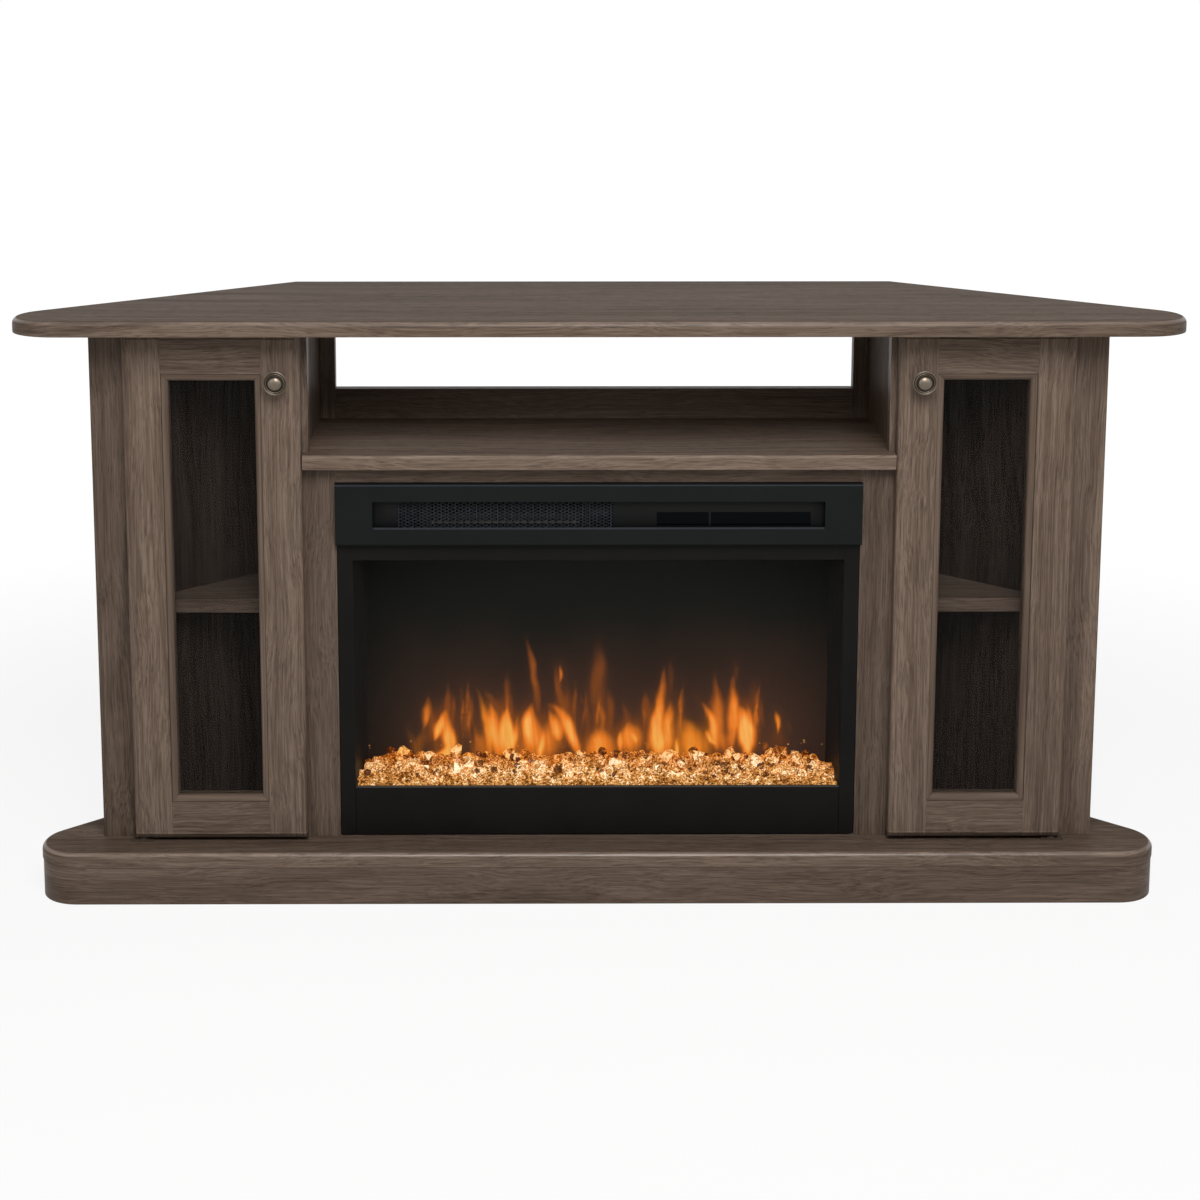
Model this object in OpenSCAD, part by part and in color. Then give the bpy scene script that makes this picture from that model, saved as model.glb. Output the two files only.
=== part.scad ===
// Corner fireplace: a corner media console with two glazed doors, an open shelf and an electric
// firebox. Millimetres, +Z up, front towards -Y, origin on the floor under the centre of the top.

/* [Top and base] */
// Widest width of the top, across its two round front corners
top_w = 1448; // [1380:1:1520]
// Depth of the top, from its front edge to its back edge
top_depth = 401; // [392:1:430]
// Radius of the top's front corners
top_corner_r = 63.5; // [50:0.5:75]
// Height of the whole object
overall_h = 747; // [735:1:790]
// Thickness of the boards
board_t = 19; // [17:0.5:20]
// Radius of the rounded upper edges of the top and the base
edge_r = 8; // [4:0.5:12]
// How far the base's edge lies inside the top's edge
base_inset = 12.7; // [8:0.1:20]
// Height of the base, with its board
base_h = 68; // [60:1:74]
// How far the skirt lies behind the edge of the base board
skirt_recess = 1; // [0.5:0.1:2]
// Width of the battens inside the base
batten_w = 40; // [30:1:60]
// Distance of each batten from the centre
batten_x = 260; // [200:1:290]

/* [Cabinet] */
// Overhang of the top in front of the cabinet's face
front_overhang = 73; // [66:1:80]
// Overhang of the top past the angled sides
side_overhang = 74.8; // [68:0.1:82]
// Clear width between the two inner panels
bay_w = 740; // [732:1:748]
// Width of each outer stile
outer_stile_w = 60; // [56:1:66]
// How far the stiles beside the open bay stand into it
bay_trim = 6.4; // [4:0.1:10]
// Width of the stiles beside the open bay
bay_stile_w = 28.4; // [26:0.1:34]
// Height of the open shelf's top face
shelf_top = 572; // [564:1:582]
// How far the open shelf stands out of the cabinet's face
shelf_lip = 21; // [12:0.5:21.5]
// Height of the back rail above the open shelf
back_rail_rise = 40.5; // [30:0.5:60]
// Height of the back rail below the shelf's top face
back_rail_drop = 40; // [30:1:60]
// Height of the lower back rail
low_rail_h = 60; // [40:1:80]
// Width of each back post
post_w = 20.2; // [16:0.1:30]
// Height of the top face of the shelves behind the doors
tower_shelf_top = 375.5; // [300:0.5:450]
// Thickness of the shelves behind the doors
tower_shelf_t = 18; // [15:0.5:19]
// How far those shelves lie behind the cabinet's face
tower_shelf_setback = 26; // [22:1:34]
// Gap between those shelves and the panels around them
tower_shelf_gap = 0.3; // [0.2:0.1:1]
// Diameter of a shelf pin
pin_d = 5; // [4:0.5:6]
// Length of a shelf pin outside the panel
pin_out = 8; // [6:0.5:12]
// Depth of a shelf pin inside the panel
pin_in = 10; // [7:0.5:12]
// Side of the square cleats
cleat_s = 19; // [15:1:22]
// Distance of the cleats' ends from the frame in front of them and the boards behind them
cleat_gap = 20; // [10:1:30]

/* [Doors] */
// Thickness of a door
door_t = 20; // [18.5:0.5:22]
// Gap between a closed door and the cabinet's face
door_gap = 2; // [2:0.1:3]
// Width of the outer stile left bare beside a door
side_reveal = 44.3; // [40:0.1:50]
// Distance from the inner panel's face to the door's inner edge
bay_reveal = 0.8; // [0.5:0.1:3]
// Gap under a door
door_floor_gap = 5; // [4.5:0.1:8]
// Gap over a door
door_top_gap = 3.5; // [3:0.1:6]
// Width of a door's stiles
door_stile_w = 48; // [44:0.5:54]
// Height of a door's top rail
door_top_rail_h = 50; // [44:0.5:60]
// Height of a door's bottom rail
door_low_rail_h = 49; // [44:0.5:60]
// Width of the moulded outer edge
door_edge_w = 6.5; // [4:0.1:9]
// Depth of the moulded outer edge
door_edge_d = 4; // [2:0.1:6]
// Step between the moulded edge and the door's flat face
door_edge_step = 1; // [0.5:0.1:1.5]
// Radius of the hinge stile's outer back corner
door_back_r = 5; // [5:0.5:7]
// Width of the bead round the glass
bead_w = 8.45; // [6:0.05:10]
// Depth of the bead's front below the door's flat face
bead_sink = 1.5; // [0.5:0.1:2.5]
// Depth of the door glass's front below the door's flat face
glass_sink = 9; // [8:0.1:10]
// Thickness of the door glass
door_glass_t = 4; // [3:0.5:5]
// Distance of the hinge axis from the door's outer edge
pivot_inset = 9; // [8.5:0.1:9.5]
// Radius of a pivot pin
pivot_r = 3; // [2.5:0.1:3.5]
// Radial clearance between a pivot pin and its bush
pivot_play = 0.05; // [0.02:0.01:0.09]
// Length of a bush
bush_l = 14; // [11:0.5:18]
// Outer radius of a bush
bush_r = 5; // [4.5:0.1:6]
// Thickness of the pivot plates
pivot_plate_t = 2; // [1.5:0.1:2.5]
// Diameter of a knob
knob_d = 30.2; // [26:0.1:34]
// How far a knob stands out of the door
knob_proj = 25; // [22:0.5:30]
// Distance of a knob's centre below the door's top edge
knob_drop = 58.5; // [50:0.5:120]
// Distance of a knob's centre from the door's inner edge
knob_inset = 28.4; // [24:0.1:32]
// Diameter of a door magnet
magnet_d = 10; // [8:0.5:12]
// Distance of the magnets below the underside of the top
magnet_drop = 28; // [16:1:48]

/* [Firebox] */
// Width of the stiles beside the firebox
surround_stile_w = 62; // [58:0.5:66]
// Height of the rail between the firebox and the open shelf
surround_rail_h = 20.6; // [18:0.1:24]
// How far the hood laps over the surround
hood_lap = 1; // [0.5:0.1:3]
// Height of the hood
hood_h = 79.1; // [74:0.1:84]
// How far the hood stands out of the cabinet's face
hood_proud = 10; // [9:0.5:14]
// Width of the hood's front beside each end of the slot
slot_end_w = 47; // [41:0.5:51]
// Height of the slot in the hood
slot_h = 33; // [30:0.5:36]
// Height of the slot above the hood's lower edge
slot_rise = 22.9; // [20:0.1:26]
// Thickness of the sheet metal
sheet_t = 1.5; // [1:0.1:1.8]
// Gap between the lower frame and the opening's sides
frame_gap = 1; // [0.5:0.1:1.5]
// Gap between the lower frame and the base board
frame_floor_gap = 2.4; // [2:0.1:3]
// Width of the lower frame's side bars
frame_bar_w = 18.5; // [16:0.5:22]
// Height of the lower frame's top bar
frame_head_h = 21.3; // [18:0.1:25]
// Height of the lower panel
low_panel_h = 63.6; // [58:0.1:70]
// Thickness of the window glass
window_glass_t = 4; // [3:0.5:5]
// Gap between the firebox case and each side of its opening
case_side_gap = 6; // [5:0.5:10]
// Gap between the firebox's back and the cabinet's back posts
case_back_gap = 39; // [24:1:50]
// Height of the firebox's feet
foot_h = 3; // [2.5:0.1:4]
// Gap between the firebox and the top of its opening
case_top_gap = 2.4; // [1.6:0.1:4]
// Distance of the flame screen behind the cabinet's face
screen_back = 61; // [56:1:66]
// How far each side liner draws in towards the flame screen
liner_taper = 10.5; // [8.5:0.5:13.5]
// Thickness of the flame screen
screen_t = 3; // [2:0.5:4]
// Height of the ember bed's front edge above the lower panel
ember_front_rise = 3; // [2:0.5:8]
// Height of the ember bed's back edge above the lower panel
ember_back_rise = 22; // [16:0.5:30]
// Width of the heater grille
grille_w = 271; // [250:1:280]
// Distance of the grille's centre to the left of the firebox's centre
grille_x = 117.5; // [110:0.5:125]
// Pitch of the grille's holes
grille_pitch = 8; // [7.5:0.1:10]
// Width of the metal between the grille's holes
grille_web = 2; // [1.5:0.1:2.5]
// Width of the control window
control_w = 194; // [180:1:200]
// Height of the control window
control_h = 17.4; // [15:0.1:19]
// Distance of the control window's centre from the firebox's centre
control_x = 170; // [165:0.5:175]
// Distance of the control window's divider from the firebox's centre
divider_x = 139.4; // [130:0.1:150]
// Outer radius of the blower wheel
wheel_r = 22; // [20:0.5:24]
// Length of the blower wheel
wheel_l = 200; // [180:1:205]
// Number of blades on the blower wheel
wheel_blades = 20; // [14:1:24]
// Radius of the flicker spindle's rod
rod_r = 3; // [2.5:0.1:3.5]
// Reach of the flicker spindle's vanes
vane_r = 20; // [15:0.5:22]
// Number of vanes on the flicker spindle
vane_count = 16; // [8:1:20]
// Radial clearance of the turning shafts in their bearings
shaft_play = 0.05; // [0.02:0.01:0.09]
// Radius of the power gland's bore
gland_r = 4; // [3:0.5:5]

/* [Hidden] */

wood = [0.43, 0.38, 0.34];
black = [0.12, 0.13, 0.13];
steel = [0.6, 0.6, 0.6];
brass = [0.55, 0.48, 0.38];
glass_tint = [0.5, 0.55, 0.55, 0.4];

root2 = sqrt(2);
root3 = sqrt(3);
arc_steps = 18;         // steps along the round corners of the top and the base
slice = 0.01;           // thickness of the slices that a rounded edge is blended from
cut = 1;                // how far a cutting solid runs past the face that it cuts

// Outline of the top: round front corners, angled sides at 45 degrees, straight back edge
corner_x = top_w/2 - top_corner_r;
corner_y = -top_depth/2 + top_corner_r;
side_line = corner_x + corner_y + top_corner_r*root2;   // x + y along the top's angled side
back_y = top_depth/2;
top_z = overall_h - board_t;                            // underside of the top
case_h = top_z - base_h;                                // height of the cabinet between base and top

skirt_out = base_inset + skirt_recess;                  // inset of the skirt's outer face
skirt_in = skirt_out + board_t;
skirt_h = base_h - board_t;

// Cabinet
face_y = -top_depth/2 + front_overhang;                 // plane of the cabinet's face
case_half = side_line - side_overhang*root2 - face_y;   // half the width of that face
inner_x = bay_w/2 + board_t;                            // outer face of the inner panels
frame_y = face_y + board_t;                             // back of the face frame
panel_lap = 2;                                          // inner panels end this far behind the angled ones
case_back = face_y + case_half - inner_x + panel_lap;   // back plane
post_y = case_back - board_t;                           // front face of the back frame
shelf_z = shelf_top - board_t;
bay_edge = bay_w/2 - bay_trim;                          // inner edge of the bay's stiles
stile_edge = bay_edge + bay_stile_w;                    // outer edge of the inner stiles
opening_w = 2*(stile_edge - surround_stile_w);          // opening for the firebox
opening_top = shelf_z - surround_rail_h;
tower_z = tower_shelf_top - tower_shelf_t;
angled_in = case_half - board_t*root2;                  // x + y - face_y on the angled panel's inside
pin_z = tower_z - pin_d/2;
pin_places = [0.28, 0.72];                              // places of the pins along a shelf's edges

// Doors, drawn on the right and mirrored for the left
door_in = bay_w/2 + bay_reveal;
door_out = case_half - side_reveal;
door_w = door_out - door_in;
door_z0 = base_h + door_floor_gap;
door_z1 = top_z - door_top_gap;
door_h = door_z1 - door_z0;
door_back = face_y - door_gap;
door_front = door_back - door_t;
glass_x0 = door_in + door_stile_w;                      // opening between the stiles
glass_x1 = door_out - door_stile_w;
glass_z0 = door_z0 + door_low_rail_h;
glass_z1 = door_z1 - door_top_rail_h;
knob_z = door_z1 - knob_drop;
glass_fit = 0.3;                                        // room round the glass in its rebate
lip_y = door_front + glass_sink + door_glass_t;         // front of the lip that holds the glass
pivot_x = door_out - pivot_inset;
pivot_y = (door_front + door_back)/2;
pivot_gap = 0.1;                                        // the door stands this far over its collar
strike_t = 0.5;
magnet_x = (door_in + stile_edge)/2;
magnet_z = top_z - magnet_drop;
magnet_gap = 0.1;
stud_r = 2;                                             // stud that holds the knob

// Firebox
hood_x = opening_w/2 + hood_lap;
hood_z1 = opening_top + hood_lap;
hood_z0 = hood_z1 - hood_h;
hood_front = face_y - hood_proud;
hood_fold = frame_gap + hood_lap + 1;                   // thickness of the hood's folded edges
frame_x = opening_w/2 - frame_gap;
frame_z0 = base_h + frame_floor_gap;
frame_head_gap = 0.3;
frame_z1 = hood_z0 - frame_head_gap;
window_x = frame_x - frame_bar_w;
window_z0 = frame_z0 + low_panel_h;
window_z1 = frame_z1 - frame_head_h;
panel_back = face_y + sheet_t;                          // back of the frame, front of the case
glass_back = panel_back + window_glass_t;
case_x = opening_w/2 - case_side_gap;
case_y1 = post_y - case_back_gap;
case_z0 = base_h + foot_h;
case_z1 = opening_top - case_top_gap;
floor_z = case_z0 + sheet_t;
liner_gap = 0.5;
liner_y = glass_back + liner_gap;
screen_y = face_y + screen_back;
screen_x = window_x - liner_taper;                      // half the screen's width between the liners
ceiling_rise = 7;
ceiling_z = window_z1 + ceiling_rise;
tray_drop = 4;
tray_z = window_z0 - tray_drop;                         // top of the tray under the ember bed
ledge_drop = 20;
ledge_z = tray_z - ledge_drop;                          // ledge under the flame screen
slot_z = hood_z0 + slot_rise;
slot_x = hood_x - slot_end_w;                           // half the slot's width
grille_lap_low = 5;
grille_lap_top = 2;
grille_z0 = slot_z - grille_lap_low;
grille_z1 = slot_z + slot_h + grille_lap_top;
grille_left = -grille_x - grille_w/2;
wheel_back = 60;
wheel_rise = 5;
wheel_y = face_y + wheel_back;
wheel_z = slot_z + wheel_rise;
duct_gap = 4;                                           // between the wheel and its housing
duct_r = wheel_r + duct_gap;
duct_x = wheel_l/2 + duct_gap;                          // half the housing's inner length
duct_low_step = 3;
duct_top_step = 1;
duct_z0 = grille_z0 + duct_low_step;
duct_z1 = grille_z1 + duct_top_step;
duct_front_gap = 3;
duct_y = panel_back + duct_front_gap;                   // front edge of the housing
motor_l = 34;
hub_l = 12;                                             // shaft length inside a motor or bearing
vane_gap = 10;                                          // between the vanes and the flame screen
rod_rise = 20;                                          // between the vanes and the case's floor
rod_end_gap = 42;
rod_y = screen_y + screen_t + vane_r + vane_gap;
rod_z = floor_z + vane_r + rod_rise;
rod_half = case_x - rod_end_gap;
bearing_l = 8;
flange_l = 12;                                          // between the spindle's motor and its bearing
boss_l = 6;                                             // bearing boss on the blower's housing
gland_in = 74;                                          // distance of the gland from the case's side
gland_rise = 80;
gland_x = case_x - gland_in;
gland_z = case_z0 + gland_rise;
gland_wall = 3;
ember_cols = 52;
ember_rows = 6;
ember_noise = rands(-1, 1, (ember_cols + 1)*(ember_rows + 1), 11);
ember_y0 = liner_y + 0.3;
ember_y1 = screen_y - 3;

function arc(cx, cy, r, from, to, steps) =
    [for (k = [0:steps]) let (a = from + (to - from)*k/steps) [cx + r*cos(a), cy + r*sin(a)]];
function side_at(inset) = side_line - inset*root2;      // x + y on the angled side, drawn in
function back_x(inset) = side_at(inset) - (back_y - inset);
function outline(inset) = concat(
    arc(corner_x, corner_y, top_corner_r - inset, -90, 45, arc_steps),
    [[back_x(inset), back_y - inset], [-back_x(inset), back_y - inset]],
    arc(-corner_x, corner_y, top_corner_r - inset, 135, 270, arc_steps));

// Draws on the right for side 1 and mirrored on the left for side -1
module on_side(side) {
    mirror([side < 0 ? 1 : 0, 0, 0]) children();
}

module both_sides() {
    for (side = [-1, 1]) on_side(side) children();
}

// A box given by its two opposite corners
module block(low, high) {
    translate(low) cube(high - low);
}

// A board with the top's outline drawn in by inset, and a rounded upper edge
module edged_board(inset, z, thickness, r) {
    hull() {
        translate([0, 0, z]) linear_extrude(thickness - r) polygon(outline(inset));
        for (a = [0:15:90])
            translate([0, 0, z + thickness - r + r*sin(a) - slice])
                linear_extrude(slice) polygon(outline(inset + r*(1 - cos(a))));
    }
}

// ---------- top and base ----------

module top_slab() {
    color(wood) edged_board(0, top_z, board_t, edge_r);
}

module base_board() {
    color(wood) edged_board(base_inset, base_h - board_t, board_t, edge_r);
}

module skirt_front() {
    color(wood) linear_extrude(skirt_h) polygon(concat(
        arc(-corner_x, corner_y, top_corner_r - skirt_out, 135, 270, arc_steps),
        arc(corner_x, corner_y, top_corner_r - skirt_out, -90, 45, arc_steps),
        arc(corner_x, corner_y, top_corner_r - skirt_in, 45, -90, arc_steps),
        arc(-corner_x, corner_y, top_corner_r - skirt_in, 270, 135, arc_steps)));
}

function corner_end(inset) =
    [corner_x + (top_corner_r - inset)/root2, corner_y + (top_corner_r - inset)/root2];

module skirt_sides() {
    color(wood) both_sides() linear_extrude(skirt_h) polygon([
        corner_end(skirt_out), [back_x(skirt_out), back_y - skirt_out],
        [back_x(skirt_in), back_y - skirt_in], corner_end(skirt_in)]);
}

module skirt_back() {
    color(wood) linear_extrude(skirt_h) polygon([
        [back_x(skirt_out), back_y - skirt_out], [-back_x(skirt_out), back_y - skirt_out],
        [-back_x(skirt_in), back_y - skirt_in], [back_x(skirt_in), back_y - skirt_in]]);
}

module base_battens() {
    color(wood) both_sides() block(
        [batten_x - batten_w/2, -back_y + skirt_in, 0],
        [batten_x + batten_w/2, back_y - skirt_in, skirt_h]);
}

// ---------- cabinet ----------

module outer_stile() {
    color(wood) translate([0, 0, base_h]) linear_extrude(case_h) polygon([
        [case_half, face_y], [case_half - outer_stile_w, face_y],
        [case_half - outer_stile_w, frame_y], [case_half - board_t, frame_y]]);
}

module left_outer_stile() { on_side(-1) outer_stile(); }
module right_outer_stile() { on_side(1) outer_stile(); }

// Bores for the shelf pins along the inside of the angled panel
module angled_pins(length, back) {
    for (place = pin_places) {
        x = inner_x + place*(angled_in - board_t - inner_x);
        y = face_y + angled_in - x;
        translate([x, y, pin_z]) rotate([0, 0, 225]) rotate([0, 90, 0]) translate([0, 0, -back])
            cylinder(r = pin_d/2, h = length, $fn = 24);
    }
}

// Bores for the shelf pins in the inner panel's outer face
module inner_pins(length, back) {
    for (place = pin_places)
        translate([inner_x - back, face_y + place*(angled_in - inner_x), pin_z])
            rotate([0, 90, 0]) cylinder(r = pin_d/2, h = length, $fn = 24);
}

module angled_panel() {
    color(wood) difference() {
        translate([0, 0, base_h]) linear_extrude(case_h) polygon([
            [case_half - board_t, frame_y], [inner_x, face_y + case_half - inner_x],
            [inner_x, face_y + angled_in - inner_x], [angled_in - board_t, frame_y]]);
        angled_pins(pin_in + cut, pin_in);
    }
}

module left_angled_panel() { on_side(-1) angled_panel(); }
module right_angled_panel() { on_side(1) angled_panel(); }

module inner_panel() {
    color(wood) difference() {
        block([bay_w/2, frame_y, base_h], [inner_x, case_back, top_z]);
        inner_pins(pin_in + cut, pin_in);
    }
}

module left_inner_panel() { on_side(-1) inner_panel(); }
module right_inner_panel() { on_side(1) inner_panel(); }

// The open shelf: a lip in front of the face, notches round the bay's stiles, then the board
module media_shelf() {
    end_x = bay_w/2;
    color(wood) translate([0, 0, shelf_z]) linear_extrude(board_t) polygon([
        [-end_x, face_y - shelf_lip], [end_x, face_y - shelf_lip],
        [end_x, face_y], [bay_edge, face_y], [bay_edge, frame_y], [end_x, frame_y],
        [end_x, post_y], [-end_x, post_y],
        [-end_x, frame_y], [-bay_edge, frame_y], [-bay_edge, face_y], [-end_x, face_y]]);
}

module back_posts() {
    color(wood) both_sides() block(
        [bay_w/2 - post_w, post_y, base_h], [bay_w/2, case_back, top_z]);
}

module back_rails() {
    rail_x = bay_w/2 - post_w;
    color(wood) {
        block([-rail_x, post_y, shelf_top - back_rail_drop],
            [rail_x, case_back, shelf_top + back_rail_rise]);
        block([-rail_x, post_y, base_h], [rail_x, case_back, base_h + low_rail_h]);
    }
}

module surround_stile() {
    color(wood) block([opening_w/2, face_y, base_h], [stile_edge, frame_y, shelf_z]);
}

module left_surround_stile() { on_side(-1) surround_stile(); }
module right_surround_stile() { on_side(1) surround_stile(); }

module surround_rail() {
    color(wood) block([-opening_w/2, face_y, opening_top], [opening_w/2, frame_y, shelf_z]);
}

// The bay's stiles, each with a pocket for its door's magnet
module bay_stiles() {
    color(wood) both_sides() difference() {
        block([bay_edge, face_y, shelf_z], [stile_edge, frame_y, top_z]);
        translate([magnet_x, face_y + board_t/2, magnet_z]) rotate([90, 0, 0])
            cylinder(d = magnet_d, h = board_t/2 + cut, $fn = 32);
    }
}

module tower_shelves() {
    gap = tower_shelf_gap;
    front = face_y + tower_shelf_setback;
    hyp = angled_in + face_y - gap*root2;       // x + y along the shelf's angled edge
    color(wood) both_sides() translate([0, 0, tower_z]) linear_extrude(tower_shelf_t) polygon([
        [inner_x + gap, front], [hyp - front, front], [inner_x + gap, hyp - inner_x - gap]]);
}

module shelf_pins() {
    color(steel) both_sides() {
        angled_pins(pin_in + pin_out, pin_in);
        inner_pins(pin_in + pin_out, pin_in);
    }
}

// Cleats under the open shelf and, outside the inner panels, under the top
module case_cleats() {
    y0 = frame_y + cleat_gap;
    tower_back = face_y + angled_in - inner_x - cleat_s;    // where the angled panel meets a cleat
    color(wood) both_sides() {
        block([bay_w/2 - cleat_s, y0, shelf_z - cleat_s], [bay_w/2, post_y - cleat_gap, shelf_z]);
        block([inner_x, y0, top_z - cleat_s], [inner_x + cleat_s, tower_back - cleat_gap, top_z]);
    }
}

// ---------- doors ----------

// The whole door as one moulded blank, which the stiles and rails are cut from
module door_blank() {
    core = door_t - door_edge_step - door_edge_d;
    module layer(inset, depth, t) {
        block([door_in + inset, door_front + depth, door_z0 + inset],
            [door_out - inset, door_front + depth + t, door_z1 - inset]);
    }
    layer(0, door_t - core, core);
    layer(door_edge_w, 0, door_t);
    hull() {
        layer(0, door_t - core - slice, slice);
        for (a = [22.5:22.5:90])
            layer(door_edge_w*(1 - cos(a)), door_edge_step + door_edge_d*(1 - sin(a)), slice);
    }
}

// Cuts the door blank down to one member and adds the lip that the glass rests on
module door_member(low_x, low_z, high_x, high_z) {
    intersection() {
        door_blank();
        block([low_x, door_front - cut, low_z], [high_x, door_back + cut, high_z]);
    }
}

module bush_bores() {
    for (z = [door_z0 - cut, door_z1 - bush_l])
        translate([pivot_x, pivot_y, z]) cylinder(r = bush_r, h = bush_l + cut, $fn = 32);
}

module hinge_stile() {
    color(wood) difference() {
        union() {
            door_member(glass_x1, door_z0, door_out, door_z1);
            block([glass_x1 - bead_w, lip_y, glass_z0], [glass_x1 + cut, door_back, glass_z1]);
        }
        bush_bores();
        // rounds the outer back corner, so that it clears the cabinet as the door turns
        translate([door_out - door_back_r, door_back - door_back_r, door_z0 - cut])
            difference() {
                cube([door_back_r + cut, door_back_r + cut, door_h + 2*cut]);
                cylinder(r = door_back_r, h = door_h + 2*cut, $fn = 48);
            }
    }
}

module knob_stile() {
    color(wood) difference() {
        union() {
            door_member(door_in, door_z0, glass_x0, door_z1);
            block([glass_x0 - cut, lip_y, glass_z0], [glass_x0 + bead_w, door_back, glass_z1]);
        }
        translate([door_in + knob_inset, door_back + cut, knob_z]) rotate([90, 0, 0])
            cylinder(r = stud_r, h = door_t + 2*cut, $fn = 24);
    }
}

module top_rail() {
    color(wood) union() {
        door_member(glass_x0, glass_z1, glass_x1, door_z1);
        block([glass_x0 + bead_w, lip_y, glass_z1 - bead_w],
            [glass_x1 - bead_w, door_back, glass_z1 + cut]);
    }
}

module bottom_rail() {
    color(wood) union() {
        door_member(glass_x0, door_z0, glass_x1, glass_z0);
        block([glass_x0 + bead_w, lip_y, glass_z0 - cut],
            [glass_x1 - bead_w, door_back, glass_z0 + bead_w]);
    }
}

// The mitred bead: a flat edge, then a quarter round down to the glass
module bead() {
    flat = 1.2;
    rim = 3;                                    // left of the bead at the glass
    low = glass_sink - bead_sink - rim;
    module hole(inset, depth) {
        block([glass_x0 + inset, door_front + depth, glass_z0 + inset],
            [glass_x1 - inset, door_front + depth + slice, glass_z1 - inset]);
    }
    color(wood) difference() {
        block([glass_x0, door_front + bead_sink, glass_z0],
            [glass_x1, door_front + glass_sink, glass_z1]);
        block([glass_x0 + bead_w, door_front - cut, glass_z0 + bead_w],
            [glass_x1 - bead_w, door_front + glass_sink + cut, glass_z1 - bead_w]);
        for (a = [0:22.5:67.5]) hull() {
            hole(flat + (bead_w - flat)*sin(a), bead_sink + low*(1 - cos(a)));
            hole(flat + (bead_w - flat)*sin(a + 22.5), bead_sink + low*(1 - cos(a + 22.5)));
            hole(flat + (bead_w - flat)*sin(a + 22.5), bead_sink - cut);
            hole(flat + (bead_w - flat)*sin(a), bead_sink - cut);
        }
    }
}

module door_glass() {
    fit = glass_fit;
    color(glass_tint) block([glass_x0 + fit, door_front + glass_sink, glass_z0 + fit],
        [glass_x1 - fit, lip_y, glass_z1 - fit]);
}

// The knob: a foot, a narrow neck, a ringed head and a dome, turned as one piece
module knob() {
    head = knob_d/2;
    dome = knob_d*0.31;
    rim_y = knob_proj - 6;
    foot_r = 7.5;
    neck_r = 4.6;
    nut_r = 4;
    nut_t = 1.2;
    color(brass) translate([door_in + knob_inset, door_front, knob_z]) rotate([90, 0, 0]) {
        rotate_extrude($fn = 40) polygon(concat(
            [[0, 0], [foot_r, 0], [foot_r, 1.5], [neck_r + 0.2, 4]],
            [[neck_r, rim_y - 7], [head - 3, rim_y - 2.5]],
            [[head - 0.6, rim_y - 1.4], [head, rim_y], [head - 0.6, rim_y + 1.2]],
            [[head - 1.8, rim_y + 1.4], [head - 2.6, rim_y + 0.4], [head - 3.4, rim_y + 0.9]],
            [[head - 4.4, rim_y + 1.2], [head - 5.2, rim_y + 0.2], [dome, rim_y + 0.2]],
            [for (a = [0:15:90]) [dome*cos(a), rim_y + 1 + (knob_proj - rim_y - 1)*sin(a)]]));
        translate([0, 0, -door_t]) cylinder(r = stud_r, h = door_t + cut, $fn = 24);
        translate([0, 0, -door_t - nut_t]) cylinder(r = nut_r, h = nut_t, $fn = 32);
    }
}

module bushes() {
    color(brass) for (z = [door_z0, door_z1 - bush_l])
        translate([pivot_x, pivot_y, z]) difference() {
            cylinder(r = bush_r, h = bush_l, $fn = 32);
            translate([0, 0, -cut])
                cylinder(r = pivot_r + pivot_play, h = bush_l + 2*cut, $fn = 32);
        }
}

module strike() {
    rim = 2;                                    // how far the strike stands out round the magnet
    color(steel) translate([magnet_x, door_back + strike_t, magnet_z]) rotate([90, 0, 0])
        cylinder(d = magnet_d + 2*rim, h = strike_t, $fn = 32);
}

module left_hinge_stile() { on_side(-1) hinge_stile(); }
module left_knob_stile() { on_side(-1) knob_stile(); }
module left_top_rail() { on_side(-1) top_rail(); }
module left_bottom_rail() { on_side(-1) bottom_rail(); }
module left_bead() { on_side(-1) bead(); }
module left_glass() { on_side(-1) door_glass(); }
module left_knob() { on_side(-1) knob(); }
module left_bushes() { on_side(-1) bushes(); }
module left_strike() { on_side(-1) strike(); }
module right_hinge_stile() { on_side(1) hinge_stile(); }
module right_knob_stile() { on_side(1) knob_stile(); }
module right_top_rail() { on_side(1) top_rail(); }
module right_bottom_rail() { on_side(1) bottom_rail(); }
module right_bead() { on_side(1) bead(); }
module right_glass() { on_side(1) door_glass(); }
module right_knob() { on_side(1) knob(); }
module right_bushes() { on_side(1) bushes(); }
module right_strike() { on_side(1) strike(); }

// Pivots on the base board and under the top: a plate, a pin and, below, a collar
module door_pivots() {
    plate_x = 14;
    plate_y = 8;
    reach = bush_l - 2;
    color(steel) both_sides() translate([pivot_x, pivot_y, 0]) {
        block([-plate_x, -plate_y, base_h], [plate_x, plate_y, base_h + pivot_plate_t]);
        translate([0, 0, base_h + pivot_plate_t - slice])
            cylinder(r = bush_r, h = door_floor_gap - pivot_plate_t - pivot_gap + slice, $fn = 32);
        translate([0, 0, base_h]) cylinder(r = pivot_r, h = door_floor_gap + reach, $fn = 32);
        block([-plate_x, -plate_y, top_z - pivot_plate_t], [plate_x, plate_y, top_z]);
        translate([0, 0, door_z1 - reach])
            cylinder(r = pivot_r, h = door_top_gap + reach, $fn = 32);
    }
}

module door_magnets() {
    proud = door_gap - strike_t - magnet_gap;
    color(steel) both_sides() translate([magnet_x, face_y + board_t/2, magnet_z])
        rotate([90, 0, 0]) cylinder(d = magnet_d, h = board_t/2 + proud, $fn = 32);
}

// ---------- firebox ----------

// Half the width between the side liners at a distance behind the cabinet's face
function liner_at(y) = window_x - liner_taper*(y - liner_y)/(screen_y - liner_y);

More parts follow.
